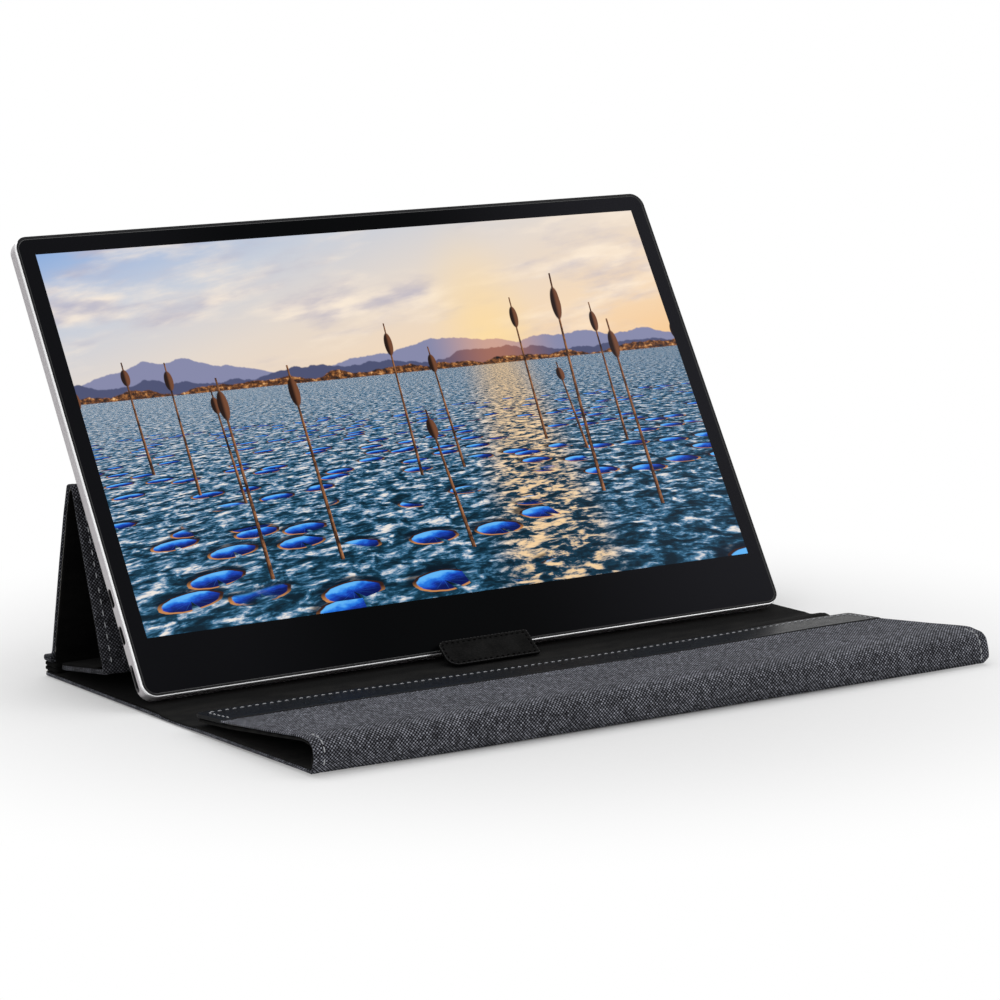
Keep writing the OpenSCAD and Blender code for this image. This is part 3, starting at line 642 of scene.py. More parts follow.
# Lines and slabs
class Line:
    # A line in the cover's section, from (y, z, radius) corners: straight runs joined by arcs,
    # measured along its length. Its inner side is a quarter turn clockwise from its direction,
    # or the other way if flipped. settle moves its points as the cloth has taken a set.
    def __init__(self, corners, flipped=False, settle=None):
        self.settle = settle
        points = [np.array(corners[0][:2], float)]
        for before, at, after in zip(corners, corners[1:], corners[2:]):
            points.extend(self.turn(*(np.array(p[:2], float) for p in (before, at, after)), at[2]))
        points.append(np.array(corners[-1][:2], float))
        dense = np.array(points)
        apart = np.hypot(*np.diff(dense, axis=0).T) > 1e-6
        self.points = dense[np.r_[True, apart]]
        self.marks = np.r_[0, np.cumsum(np.hypot(*np.diff(self.points, axis=0).T))]
        self.length = self.marks[-1]
        self.flip = -1.0 if flipped else 1.0

    @staticmethod
    def turn(before, at, after, radius):
        # the arc that rounds one corner, of up to that radius
        a, b = before - at, after - at
        lengthA, lengthB = np.hypot(*a), np.hypot(*b)
        a, b = a / lengthA, b / lengthB
        half = math.acos(max(-1.0, min(1.0, float(a @ b)))) / 2
        if radius <= 0 or half > math.pi / 2 - 1e-4:
            return [at]
        reach = min(radius / math.tan(half), 0.499 * lengthA, 0.499 * lengthB)
        radius = reach * math.tan(half)
        centre = at + (a + b) / np.hypot(*(a + b)) * radius / math.sin(half)
        start, end = at + a * reach - centre, at + b * reach - centre
        angle = math.atan2(start[0] * end[1] - start[1] * end[0], float(start @ end))
        t = np.linspace(0, angle, max(2, int(abs(angle) / math.radians(5))) + 1)
        return list(centre + np.c_[start[0] * np.cos(t) - start[1] * np.sin(t),
                                   start[0] * np.sin(t) + start[1] * np.cos(t)])

    def pointAt(self, s):
        return np.interp(s, self.marks, self.points[:, 0]), np.interp(s, self.marks, self.points[:, 1])

    def at(self, s, reach=0.25):
        # points of the line at lengths s, and the unit vectors to its inner side
        y, z = self.pointAt(s)
        beforeY, beforeZ = self.pointAt(np.clip(s - reach, 0, self.length))
        afterY, afterZ = self.pointAt(np.clip(s + reach, 0, self.length))
        dy, dz = afterY - beforeY, afterZ - beforeZ
        size = np.hypot(dy, dz)
        return y, z, self.flip * dz / size, -self.flip * dy / size

    def place(self, x, s, depth):
        # frame coordinates of points at x, at length s and that deep
        y, z, ny, nz = self.at(s)
        y, z = y + ny * depth, z + nz * depth
        if self.settle:
            y, z = self.settle(x, y, z)
        return np.stack([x, y + shiftY, z], -1) * mm

    def nearest(self, y, z):
        # length at the line's point nearest to (y, z)
        s = np.linspace(0, self.length, 4000)
        py, pz, _, _ = self.at(s)
        return float(s[np.argmin(np.hypot(py - y, pz - z))])


def quads(grid):
    # the faces of a grid of point numbers
    return np.stack([grid[:-1, :-1], grid[1:, :-1], grid[1:, 1:], grid[:-1, 1:]], -1).reshape(-1, 4)


def meshFrom(name, points, faces, material, uv=None, sharp=35):
    # faces is a list of point-number rows; uv has a pair for each point, in millimetres
    mesh = bpy.data.meshes.new(name)
    mesh.from_pydata(points.tolist(), [], [list(map(int, row)) for row in faces])
    mesh.validate()
    if uv is not None:
        layer = mesh.uv_layers.new(name="UVMap")
        corner = np.zeros(len(mesh.loops), np.int32)
        mesh.loops.foreach_get("vertex_index", corner)
        layer.data.foreach_set("uv", (uv[corner] * mm).astype(np.float32).ravel())
    mesh.polygons.foreach_set("use_smooth", np.full(len(mesh.polygons), True))
    if sharp:
        mesh.set_sharp_from_angle(angle=math.radians(sharp))
    mesh.materials.append(material)
    piece = bpy.data.objects.new(name, mesh)
    bpy.context.scene.collection.objects.link(piece)
    return piece


def ease(t):
    # a smooth step from 0 to 1
    t = np.clip(t, 0, 1)
    return t * t * (3 - 2 * t)


quarter = np.linspace(0, math.pi / 2, 7)


def endRows(kind, rim, corner):
    # distances from a rounded end at which the grid has rows
    if kind != "round":
        return np.array([0.0])
    bend = corner * (1 - np.cos(np.linspace(0, math.pi / 2, 9)))
    rows = np.unique(np.round(np.r_[rim * (1 - np.cos(quarter)), bend], 3))
    return rows[np.r_[True, np.diff(rows) > 0.04]]


def asFunction(value):
    # a measure may change with the length along the line; a plain number doesn't
    return value if callable(value) else (lambda s: np.full_like(s, float(value)))


class Slab:
    # A closed sheet or covered board along a line, with a rounded rim.
    # Depth runs from the line (0) to thick; near the outline, at distance d < rim,
    # both faces draw in by rim - sqrt(rim^2 - (rim - d)^2). Both faces swell by wave times
    # a sum of products of sines, and a seam dents the outer one by a bell.
    # With no rim given, the rim is half the thickness and the two faces meet at the edge.
    # offsets are distances from the side edges at which the grid has extra columns.
    def __init__(self, line, start, end, half, thick, x=0.0, lift=0.0, rim=None,
                 ends=("round", "round"), corners=(3.0, 3.0), step=6.0, seam=None, wave=0.0,
                 offsets=(3, 4, 5, 6, 8), columns=24, slant=0.0):
        self.line, self.start, self.end, self.half, self.x, self.slant = line, start, end, half, x, slant
        self.ends, self.seam, self.wave = ends, seam, wave
        self.offsets, self.columns = np.array(offsets, float), columns
        self.lift, self.thick = asFunction(lift), asFunction(thick)
        self.full = rim is None
        self.rimOf = (lambda s: self.thick(s) / 2) if self.full else asFunction(rim)
        length = end - start
        least = float(np.max(self.thick(np.array([start, end])))) / 2 if self.full else rim
        pairs = [c if isinstance(c, tuple) else (c, c) for c in corners]  # left and right of each end
        self.corners = [tuple(max(r, least) for r in pair) for pair in pairs]
        first = endRows(ends[0], least, max(self.corners[0]))
        last = length - endRows(ends[1], least, max(self.corners[1]))
        bends = line.marks[(line.marks > start + first[-1]) & (line.marks < start + last.min())] - start
        even = np.arange(first[-1] + step / 2, last.min() - step / 4, step)
        rows = np.round(np.r_[first, bends, even, last], 3)
        rows = np.unique(np.clip(rows, 0, length))
        keep = np.r_[True, np.diff(rows) > 0.12]
        near = (rows <= first[-1]) | (rows >= last.min())
        self.rows = rows[keep | near]
        self.build()

    def outline(self, x, row):
        # distance to the outline, and the outward direction there
        length = self.end - self.start
        across = self.half - np.abs(x)
        best, outX, outS = across, np.sign(x), np.zeros_like(x)
        for side, kind in enumerate(self.ends):
            if kind != "round":
                continue
            d = row if side == 0 else length - row
            sign = -1.0 if side == 0 else 1.0
            c = np.where(x < 0, *self.corners[side])
            inCorner = (across < c) & (d < c)
            reach = np.hypot(np.maximum(c - across, 0), np.maximum(c - d, 0))
            corner = c - reach
            plainEnd = d < best
            outX = np.where(plainEnd, 0.0, outX)
            outS = np.where(plainEnd, sign, outS)
            best = np.minimum(best, d)
            safe = np.maximum(reach, 1e-9)
            outX = np.where(inCorner, np.sign(x) * (c - across) / safe, outX)
            outS = np.where(inCorner, sign * (c - d) / safe, outS)
            best = np.where(inCorner, corner, best)
        return np.maximum(best, 0.0), outX, outS

    def halfAt(self, row, right):
        # half width of a row on one side, drawn in round the corners
        length = self.end - self.start
        half = np.full_like(row, self.half)
        for side, kind in enumerate(self.ends):
            if kind == "round":
                d = row if side == 0 else length - row
                c = self.corners[side][right]
                inside = np.clip(c - d, 0, c)
                half = np.minimum(half, self.half - c + np.sqrt(np.maximum(c * c - inside * inside, 0)))
        return half

    def surface(self, x, row, inner):
        # depth of the outer or inner face
        s = row + self.start
        d, outX, outS = self.outline(x, row)
        rim, thick = self.rimOf(s), self.thick(s)
        drawn = rim - np.sqrt(np.maximum(rim * rim - np.maximum(rim - d, 0) ** 2, 0))
        depth = thick - drawn if inner else drawn
        if self.wave:
            swell = np.sin(x * 0.021 + 1.3) * np.sin(s * 0.047 + 0.6) + 0.6 * np.sin(x * 0.053 + s * 0.031)
            depth = depth + self.wave * swell * np.clip(d / 12, 0, 1)
        if self.seam and not inner:
            inset, deep, wide, only = self.seam
            gap = (self.half - np.abs(x)) if only == "sides" else d
            depth = depth + deep * np.exp(-(((gap - inset) / wide) ** 2)) * np.clip(gap, 0, 1)
        arcLength = np.where(d < rim, rim * np.arcsin(np.clip(1 - d / rim, 0, 1)) - (rim - d), 0)
        return depth + self.lift(s), x + outX * arcLength, s + outS * arcLength

    def across(self):
        # the grid's places across the slab, a row for each of its rows: close together on
        # the rounded edges, then at the offsets from each edge, then evenly between
        rim = self.rimOf(self.rows + self.start)[:, None]
        inset = self.offsets[self.offsets > float(rim.max()) + 0.3]
        sides = []
        for right in (1, 0):
            half = self.halfAt(self.rows, right)[:, None]
            side = half - rim * (1 - np.cos(quarter))[None, :]
            near = np.minimum(half - rim - 0.02 * (1 + np.arange(len(inset)))[None, :], half - inset[None, :])
            sides.append(np.concatenate([side, near], 1))
        t = np.linspace(0, 1, self.columns + 1)[1:-1][None, :]
        middle = sides[0][:, -1:] * (1 - t) - sides[1][:, -1:] * t
        return np.concatenate([sides[0], middle, -sides[1][:, ::-1]], 1)

    def facesOf(self, top, bottom):
        # the faces of the outer and inner side, and what closes the slab between them
        outward = self.line.flip < 0
        a, b = quads(top), quads(bottom)
        faces = [a[:, ::-1] if outward else a, b if outward else b[:, ::-1]]
        caps = []
        if not self.full:
            for edge, under in ((top[:, 0], bottom[:, 0]), (top[::-1, -1], bottom[::-1, -1]),
                                (top[0, ::-1], bottom[0, ::-1]), (top[-1], bottom[-1])):
                wall = quads(np.stack([edge, under], 1))
                faces.append(wall if outward else wall[:, ::-1])
        else:
            for index, sign in ((0, 1), (-1, -1)):
                if self.ends[index] != "round":
                    ring = np.r_[top[index], bottom[index][-2:0:-1]][::sign]
                    caps.append(ring if outward else ring[::-1])
        return faces, caps

    def build(self):
        x = self.across()
        row = np.repeat(self.rows[:, None], x.shape[1], 1)
        layers, maps = [], []
        for isInner in (False, True):
            depth, u, v = self.surface(x, row, isInner)
            layers.append(self.line.place(x + self.middle(row), row + self.start, depth))
            maps.append(np.stack([u + self.x, v], -1))
        top = np.arange(x.size).reshape(x.shape)
        bottom = top + x.size
        if self.full:  # both sides share their outermost points
            bottom[:, 0], bottom[:, -1] = top[:, 0], top[:, -1]
            for index in (0, -1):
                if self.ends[index] == "round":
                    bottom[index] = top[index]
        faces, caps = self.facesOf(top, bottom)
        points = np.concatenate([layer.reshape(-1, 3) for layer in layers])
        uv = np.concatenate([m.reshape(-1, 2) for m in maps])
        used = np.unique(np.concatenate([f.ravel() for f in faces] + caps))
        renumber = np.zeros(len(points), int)
        renumber[used] = np.arange(len(used))
        self.points, self.uvs = points[used], uv[used]
        self.faces = [renumber[row] for f in faces for row in f] + [renumber[c] for c in caps]

    def middle(self, row):
        # the slab's middle line, which may slant to one side
        return self.x + self.slant * (row - (self.end - self.start) / 2)

    def piece(self, name, finish):
        return meshFrom(name, self.points, self.faces, finishes[finish], self.uvs)

    def onFace(self, x, s):
        # points on the outer face, at x and length s
        x, row = np.asarray(x, float), np.asarray(s, float) - self.start
        depth, _, _ = self.surface(x, row, False)
        return self.line.place(x + self.middle(row), row + self.start, depth)


def stitchRings(line, normals, pitch, long, radius, sink):
    # Stitches along one line of points: each is a bent grain, round in section, whose radius
    # is r sqrt(1 - a^2) and whose middle stands up by lift (1 - a^2), with a from -1 to 1.
    a = np.linspace(-1, 1, 7)
    ring = np.linspace(0, 2 * math.pi, 7)[:-1]
    marks = np.r_[0, np.cumsum(np.linalg.norm(np.diff(line, axis=0), axis=1))]
    number = int((marks[-1] - long) / pitch) + 1
    first = (marks[-1] - (number - 1) * pitch) / 2
    s = first + np.arange(number)[:, None] * pitch + a[None, :] * long / 2
    s = np.clip(s, 0, marks[-1])
    centre = np.stack([np.interp(s, marks, line[:, i]) for i in range(3)], -1)
    normal = np.stack([np.interp(s, marks, normals[:, i]) for i in range(3)], -1)
    tangent = np.gradient(centre, axis=1)
    tangent /= np.linalg.norm(tangent, axis=-1, keepdims=True)
    side = np.cross(tangent, normal)
    side /= np.linalg.norm(side, axis=-1, keepdims=True)
    normal = np.cross(side, tangent)
    lift = (radius * 0.9 * (1 - a**2) - sink)[None, :, None]
    wide = (radius * np.sqrt(np.maximum(1 - a**2, 0.004)))[None, :, None, None]
    centre = centre + normal * lift
    return centre[:, :, None] + wide * (
        np.cos(ring)[None, None, :, None] * side[:, :, None]
        + 0.8 * np.sin(ring)[None, None, :, None] * normal[:, :, None]
    )


def sewn(name, finish, runs, pitch, long, radius, sink=0.08):
    # the stitches of all runs as one mesh; a run is a line of points with its outward directions
    points, faces, count = [], [], 0
    for line, normals in runs:
        rings = stitchRings(np.asarray(line) / mm, np.asarray(normals), pitch, long, radius, sink)
        k = np.arange(rings[..., 0].size).reshape(rings.shape[:3]) + count
        count += k.size
        beside = np.roll(k, -1, 2)
        faces.extend(np.stack([k[:, :-1], beside[:, :-1], beside[:, 1:], k[:, 1:]], -1).reshape(-1, 4))
        faces.extend(k[:, 0, ::-1])
        faces.extend(k[:, -1])
        points.append(rings.reshape(-1, 3))
    return meshFrom(name, np.concatenate(points) * mm, faces, finishes[finish], sharp=0)


# the rows of stitches, and the tab's painted edge, which is a close row of beads whose lighter colour is a
# painted highlight
seams = {
    "binding": {"pitch": 3.8, "long": 2.5, "radius": 0.33},
    "spine": {"pitch": 3.6, "long": 3.0, "radius": 0.4},
    "stand": {"pitch": 5.4, "long": 3.1, "radius": 0.3},
    "tab": {"pitch": 3.1, "long": 2.0, "radius": 0.36, "sink": 0.1},
    "tabEdge": {"pitch": 2.0, "long": 2.1, "radius": 0.22, "sink": 0.14},
}


def along(slab, x, s):
    # a run of points on a slab's outer face, with the face's outward directions
    x, s = np.broadcast_arrays(np.asarray(x, float), np.asarray(s, float))
    here = slab.onFace(x, s)
    _, _, ny, nz = slab.line.at(s)
    return here, -np.stack([np.zeros_like(ny), ny, nz], -1)


def steps(*pairs):
    # a thickness along a line: smooth steps between (length, thickness) pairs
    marks, values = np.array(pairs, float).T

    def thickness(s):
        s = np.asarray(s, float)
        i = np.clip(np.searchsorted(marks, s) - 1, 0, len(marks) - 2)
        t = ease((s - marks[i]) / np.maximum(marks[i + 1] - marks[i], 1e-9))
        return values[i] * (1 - t) + values[i + 1] * t

    return thickness


def inFrame(y, z):
    # metres in the frame, on its middle plane
    return (0.0, (y + shiftY) * mm, z * mm)


# where a sheet starts and ends its turn about each fold, as (y, z)
turns = {
    "band_fold": ((-11, 0), (-23, 0)),
    "front_fold": ((-38, 0), (-50, 0)),
    "spine_fold": ((-142.6, 0), (-148.0, 3.6)),
    "flap_fold": ((-148.8, 12.0), (-140.8, 16.2)),
    "stand_fold": ((90.5, 10.0), (88.6, 15.5)),
    "leg_fold": ((67.8, 94.9), (62.8, 95.2)),
    "foot_fold": ((36.0, 14.2), (39.6, 10.4)),
}


def turnAt(piece, fold, places=None):
    # looks up where the sheet's turn about a fold starts and ends, and bakes the piece's placement into its
    # mesh
    before, after = places or turns[fold]
    inFrame(*before)
    inFrame(*after)
    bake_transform(piece)


def clothSheet(name, slab, finish, nodes=()):
    # a sheet stretched over its boards, cut to the slab's own outline
    piece = slab.piece(name, finish)
    size = (2 * slab.half * mm, (slab.end - slab.start) * mm)
    if nodes:
        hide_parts(*nodes)
    return piece


def standFor(piece, node, body):
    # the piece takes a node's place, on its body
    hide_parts(node)
    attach(piece, body)


def alongPath(x, y, number):
    # points at even distances along a path
    marks = np.r_[0, np.cumsum(np.hypot(np.diff(x), np.diff(y)))]
    even = np.linspace(0, marks[-1], number)
    return np.interp(even, marks, x), np.interp(even, marks, y)


makeCamera()

# Cover: outer cloth
cover = {
    "half": 185.5,
    "corner": 3,
    "clothBase": 1.6,  # thickness of the cloth with the board that it covers
    "liningBase": 1.0,
    "clothSoft": 0.9,
    "liningSoft": 0.7,
    "liftSoft": 0.95,  # depth at which the lining starts, where there is no board
    "spineCloth": 1.35,
    "spineLift": 1.9,
    "flapCloth": 0.85,
    "flapHalf": 185.0,
    "liningIn": 0.35,  # how far the lining stays inside the cloth's edge
    "liningCorner": 3.2,
    "flapLiningIn": 0.85,
    "stitchIn": 5.0,
    "stitchDent": (0.18, 0.7),  # how deep the seam draws the cloth in, and how wide
    "puckers": 0.12,
    # (y, z, radius), from the rear edge forward, up round the spine and back to the flap's tip
    "path": (
        (97.0, 0, 0), (-146.3, 0, 1.2), (-148.3, 4.2, 12), (-149.1, 8.9, 7), (-148.4, 13.0, 4.0),
        (-144.8, 15.9, 5), (-137.5, 16.1, 14), (-109.6, 13.1, 60), (-71.9, 9.6, 60), (-46.5, 8.0, 0),
    ),
}
binding = {
    "wide": 25.3,
    "proud": 0.45,  # how far it stands out over the cloth's line
    "thick": 2.2,
    "half": 185.35,
    "corners": (0.6, 3.6),  # at the seam and at the tip
    "stitchIn": 4.6,
    "stitchDent": (0.16, 0.6),
    "stitchTurn": 0.9,  # radius at the corners of the row
    "stitchStart": 1.6,  # from the binding's seam
}
baseTop = cover["clothBase"] + cover["liningBase"]

# how the cover has taken a set
clothSet = {
    "lean": 2.3,  # the spine leans out at the right end
    "hump": 3.1,  # the band humps up there
    "sag": 1.6,  # the flap's tip hangs down in its middle
    "rightSag": 0.5,
    "leftRise": 0.15,
    "droop": 0.9,  # the flap's rounded front drops at the right end
    "curl": 0.85,  # the front base curls up at the left end
}


def settle(x, y, z):
    # each amount times products of smooth steps and bells across the cover, along it and up it
    right, left = ease((x - 40) / 145), ease((-x - 110) / 75)
    atSpine = ease((-136 - y) / 8)
    leanOut = clothSet["lean"] * right * atSpine * np.exp(-(((z - 3.4) / 5.0) ** 2))
    flap = ease((z - 3.2) / 0.6) * (y < -44.6)
    bell = 1 - ease(np.abs(x - 30) / 190)
    hang = clothSet["leftRise"] - clothSet["sag"] * bell - clothSet["rightSag"] * ease((x - 145) / 40)
    sag = hang * ease((y + 135) / 80) * flap
    droop = -clothSet["droop"] * right * np.exp(-(((y + 143) / 6) ** 2)) * flap
    hump = clothSet["hump"] * ease((x - 105) / 75) * np.exp(-(((y + 28.5) / 8.5) ** 2)) * (1 - flap)
    curl = clothSet["curl"] * left * np.clip((-25 - y) / 110, 0, 1) * (1 - ease((z - 2.6) / 5))
    return y - leanOut, z + sag + droop + hump + curl


outerLine = Line(cover["path"], settle=settle)
lengthOf = outerLine.nearest
sMidBand = lengthOf(-30.5, 0)
sMidFront = lengthOf(-95, 0)
sSpineLow = lengthOf(-139.0, 0)  # the front base's board ends
sSpineTurn = lengthOf(-144.5, 0)
sMidSpine = lengthOf(-149.1, 9.0)
sFlapStart = lengthOf(-141.5, 16.3)
sFlapRear = lengthOf(-108, 13)
sFlapMiddle = lengthOf(-74, 9.7)
sTip = outerLine.length
sBinding = sTip - binding["wide"]


def overBand(stiff, soft, rear=-13.5, front=-47.5):
    # rows of steps from the rear edge over the soft band to the front base
    return (
        (0, stiff), (lengthOf(rear, 0), stiff), (lengthOf(-18.5, 0), soft),
        (lengthOf(-42.5, 0), soft), (lengthOf(front, 0), stiff),
    )


clothThick = steps(
    *overBand(cover["clothBase"], cover["clothSoft"]),
    (sSpineLow, cover["clothBase"]), (sSpineTurn, cover["spineCloth"]), (sFlapStart - 3, cover["spineCloth"]),
    (sFlapStart + 4, cover["flapCloth"]), (sTip + 1, cover["flapCloth"]),
)


def makeOuterCloth():
    # four sheets along the outer line, which meet in the middle of stiff panels and of the band
    stitched = (cover["stitchIn"], *cover["stitchDent"], "sides")
    rows = (
        ("outerClothRear", 0, sMidBand, "band_fold", ["rear_base_cloth"], {"ends": ("round", "cut")}),
        ("outerClothFront", sMidBand, sMidFront, "front_fold", ["band_cloth"], {}),
        ("outerClothSpine", sMidFront, sMidSpine, "spine_fold", ["front_base_cloth"],
         {"step": 4, "seam": stitched}),
        ("outerClothFlap", sMidSpine, sBinding + 2, "flap_fold", ["spine_cloth", "flap_cloth"],
         {"step": 3, "seam": stitched, "wave": cover["puckers"]}),
    )
    made = {}
    for name, start, end, fold, nodes, extra in rows:
        shape = {"ends": ("cut", "cut"), "corners": (cover["corner"],) * 2, **extra}
        made[name] = Slab(outerLine, start, end, cover["half"], clothThick, **shape)
        turnAt(clothSheet(name, made[name], "cloth", nodes), fold)
    return made


outerSlabs = makeOuterCloth()
print("outer cloth made")

# Cover: lining, and the boards of the spine and flap
# How deep the lining starts, and how thick it is, along the outer line
liningLift = steps(
    *overBand(cover["clothBase"], cover["liftSoft"]),
    (sSpineLow, cover["clothBase"]), (sSpineTurn, cover["spineLift"]), (sFlapStart - 3, cover["spineLift"]),
    (sFlapStart + 4, 1.3), (sFlapRear, 1.25), (sFlapMiddle, 1.7), (sTip - 6, 2.2), (sTip + 1, 2.25),
)
liningThick = steps(
    *overBand(cover["liningBase"], cover["liningSoft"], -13.0, -48.0),
    (sSpineTurn, cover["liningBase"]), (sMidSpine, 0.9), (sFlapStart + 4, 1.4), (sFlapRear, 1.7),
    (sFlapMiddle, 1.8), (sTip - 6, 1.4), (sTip + 1, 1.4),
)


def makeLining():
    # four sheets inside the cloth, cut at the same places
    half = cover["half"] - cover["liningIn"]
    rows = (
        ("liningRear", 0.6, sMidBand, "band_fold", ["rear_base_lining"], ("round", "cut"), half),
        ("liningFront", sMidBand, sMidFront, "front_fold", ["band_lining"], ("cut", "cut"), half),
        ("liningSpine", sMidFront, sMidSpine, "spine_fold", ["front_base_lining"], ("cut", "cut"), half),
        ("liningFlap", sMidSpine, sTip - 0.7, "flap_fold", ["spine_lining", "flap_lining"],
         ("cut", "round"), cover["half"] - cover["flapLiningIn"]),
    )
    for name, start, end, fold, nodes, ends, wide in rows:
        slab = Slab(outerLine, start, end, wide, liningThick, lift=liningLift, ends=ends,
                    corners=(cover["corner"], cover["liningCorner"]), step=4, wave=0.1)
        turnAt(clothSheet(name, slab, "lining", nodes), fold)


def makeBoards():
    # thin boards between cloth and lining, bent with them, a little clear of both
    clear = 0.04

    def lift(s):
        return clothThick(s) + clear

    def thick(s):
        return liningLift(s) - clothThick(s) - 2 * clear

    rows = (
        ("spineBoard", lengthOf(-148.4, 5.0), lengthOf(-148.9, 11.5), "front_spine", "spine_board"),
        ("flapBoard", lengthOf(-136.0, 16.0), sTip - 3.0, "flap", "flap_board"),
    )
    for name, start, end, body, node in rows:
        slab = Slab(outerLine, start, end, cover["flapHalf"] - 1.4, thick, lift=lift, corners=(1, 2), step=6)
        standFor(slab.piece(name, "board"), node, body)


def makeMagnets():
    # four flat bars in the flap's board
    start, end = lengthOf(-65.5, 9.1), lengthOf(-59.5, 8.7)
    bar = {"rim": 0.12, "corners": (0.4, 0.4), "step": 3, "offsets": (1,), "columns": 4}
    points, faces, count = [], [], 0
    for x in (-120, -40, 40, 120):
        slab = Slab(outerLine, start, end, 10, 0.8, x=x, lift=cover["liftSoft"], **bar)
        points.append(slab.points)
        faces.extend(row + count for row in slab.faces)
        count += len(slab.points)
    piece = meshFrom("flapMagnets", np.concatenate(points), faces, finishes["magnet"])
    standFor(piece, "flap_magnets", "flap")


makeLining()
makeBoards()
makeMagnets()
print("lining and boards made")

# Cover: binding and stitches
def makeBinding():
    # a smooth strip over the flap's tip, with one row of stitches along its tip and its sides
    inset = binding["stitchIn"]
    slab = Slab(outerLine, sBinding, sTip, binding["half"], binding["thick"], lift=-binding["proud"],
                corners=binding["corners"], step=2, seam=(inset, *binding["stitchDent"], "all"),
                offsets=(2, 3, 4, 4.6, 5.2, 6, 8))
    standFor(slab.piece("flapBinding", "binding"), "flap_binding", "flap")
    wide, turn = slab.half - inset, binding["stitchTurn"]
    arc = np.linspace(0, math.pi / 2, 10)
    endS = sTip - inset
    side = np.linspace(sBinding + binding["stitchStart"], endS - turn, 12)
    bendX, bendS = wide - turn + turn * np.cos(arc), endS - turn + turn * np.sin(arc)
    sideX = np.full(12, wide)
    x = np.r_[sideX, bendX, np.linspace(wide - turn, -wide + turn, 120), -bendX[::-1], -sideX]
    s = np.r_[side, bendS, np.full(120, endS), bendS[::-1], side[::-1]]
    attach(sewn("bindingStitches", "lightThread", [along(slab, x, s)], **seams["binding"]), "flap")


def makeSpineStitches():
    # up both ends of the spine and on along the flap's upper side
    def bothEnds(slab, start, end, number):
        s = np.linspace(start, end, number)
        edge = cover["half"] - cover["stitchIn"]
        return [along(slab, np.full(number, x), s) for x in (edge, -edge)]

    low = bothEnds(outerSlabs["outerClothSpine"], lengthOf(-147.6, 2.0), sMidSpine, 20)
    top = bothEnds(outerSlabs["outerClothFlap"], sMidSpine + 0.6, lengthOf(-138.0, 16.1), 24)
    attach(sewn("spineStitches", "lightThread", low, **seams["spine"]), "front_spine")
    turnAt(sewn("flapStitches", "lightThread", top, **seams["spine"]), "flap_fold")


makeBinding()
makeSpineStitches()
print("binding and stitches made")

# Stop tab
tab = {
    "x": -3.4,
    "low": (-16.2, 3.8),  # lower edge of its face
    "angle": 26.7,  # degrees from the base
    "half": 25.8,
    "length": 18.2,
    "thick": 1.25,
    "rim": 0.55,  # how far in its rounded edge reaches
    "corners": ((6.0, 1.2), (4.2, 1.2)),  # left and right, at the foot and at the top
    "slant": 0.15,
    "stitchIn": 1.9,
    "stitchDent": (0.22, 0.5),
    "edgeIn": 0.45,  # the painted edge's bead
    "boardIn": 3,
    "boardThick": 0.5,
    "boardLift": 0.4,
}


def cornered(left, right, low, high, radii):
    # a closed path round a rectangle from the middle of its foot; radii at the
    # right foot, right top, left top and left foot
    arc = np.linspace(0, math.pi / 2, 8)
    xs, ys = [(left + right) / 2], [low]
    plan = ((right, low, -1, 1, radii[0]), (right, high, -1, -1, radii[1]),
            (left, high, 1, -1, radii[2]), (left, low, 1, 1, radii[3]))
    for i, (x, y, sx, sy, r) in enumerate(plan):
        a = arc if i % 2 == 0 else arc[::-1]
        xs.extend(x + sx * r * (1 - np.sin(a)))
        ys.extend(y + sy * r * (1 - np.cos(a)))
    xs.append((left + right) / 2)
    ys.append(low)
    return np.array(xs), np.array(ys)


def roundTab(slab, inset):
    # a closed run of points on the tab's face, at one distance from its outline
    (footLeft, footRight), (topLeft, topRight) = tab["corners"]
    radii = [max(r - inset, 0.5) for r in (footRight, topRight, topLeft, footLeft)]
    wide = tab["half"] - inset
    x, s = cornered(-wide, wide, inset, tab["length"] - inset, radii)
    return along(slab, *alongPath(x, s, 400))


def makeTab():
    # a thin slab that leans on the display's foot, its stiffener, its stitches and its painted edge, coloured
    # lighter as a painted highlight
    angle = math.radians(tab["angle"])
    y, z = tab["low"]
    line = Line([(y, z, 0), (y + math.cos(angle) * tab["length"], z + math.sin(angle) * tab["length"], 0)])
    slab = Slab(line, 0, tab["length"], tab["half"], tab["thick"], x=tab["x"], rim=tab["rim"],
                corners=tab["corners"], step=1.2, seam=(tab["stitchIn"], *tab["stitchDent"], "all"),
                offsets=(1.2, 1.6, 1.9, 2.3, 3, 4), columns=40, slant=tab["slant"])
    standFor(slab.piece("stopTab", "tab"), "stop_tab", "tab")
    inside = tab["boardIn"]
    board = Slab(line, inside, tab["length"] - inside, tab["half"] - inside, tab["boardThick"], x=tab["x"],
                 lift=tab["boardLift"], rim=0.1, corners=(1, 1), step=3, columns=10, slant=tab["slant"])
    standFor(board.piece("tabBoard", "board"), "tab_stiffener", "tab")
    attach(sewn("tabStitches", "blackThread", [roundTab(slab, tab["stitchIn"])], **seams["tab"]), "tab")
    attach(sewn("tabEdge", "edgePaintAndHighlight", [roundTab(slab, tab["edgeIn"])], **seams["tabEdge"]), "tab")


makeTab()
print("tab made")

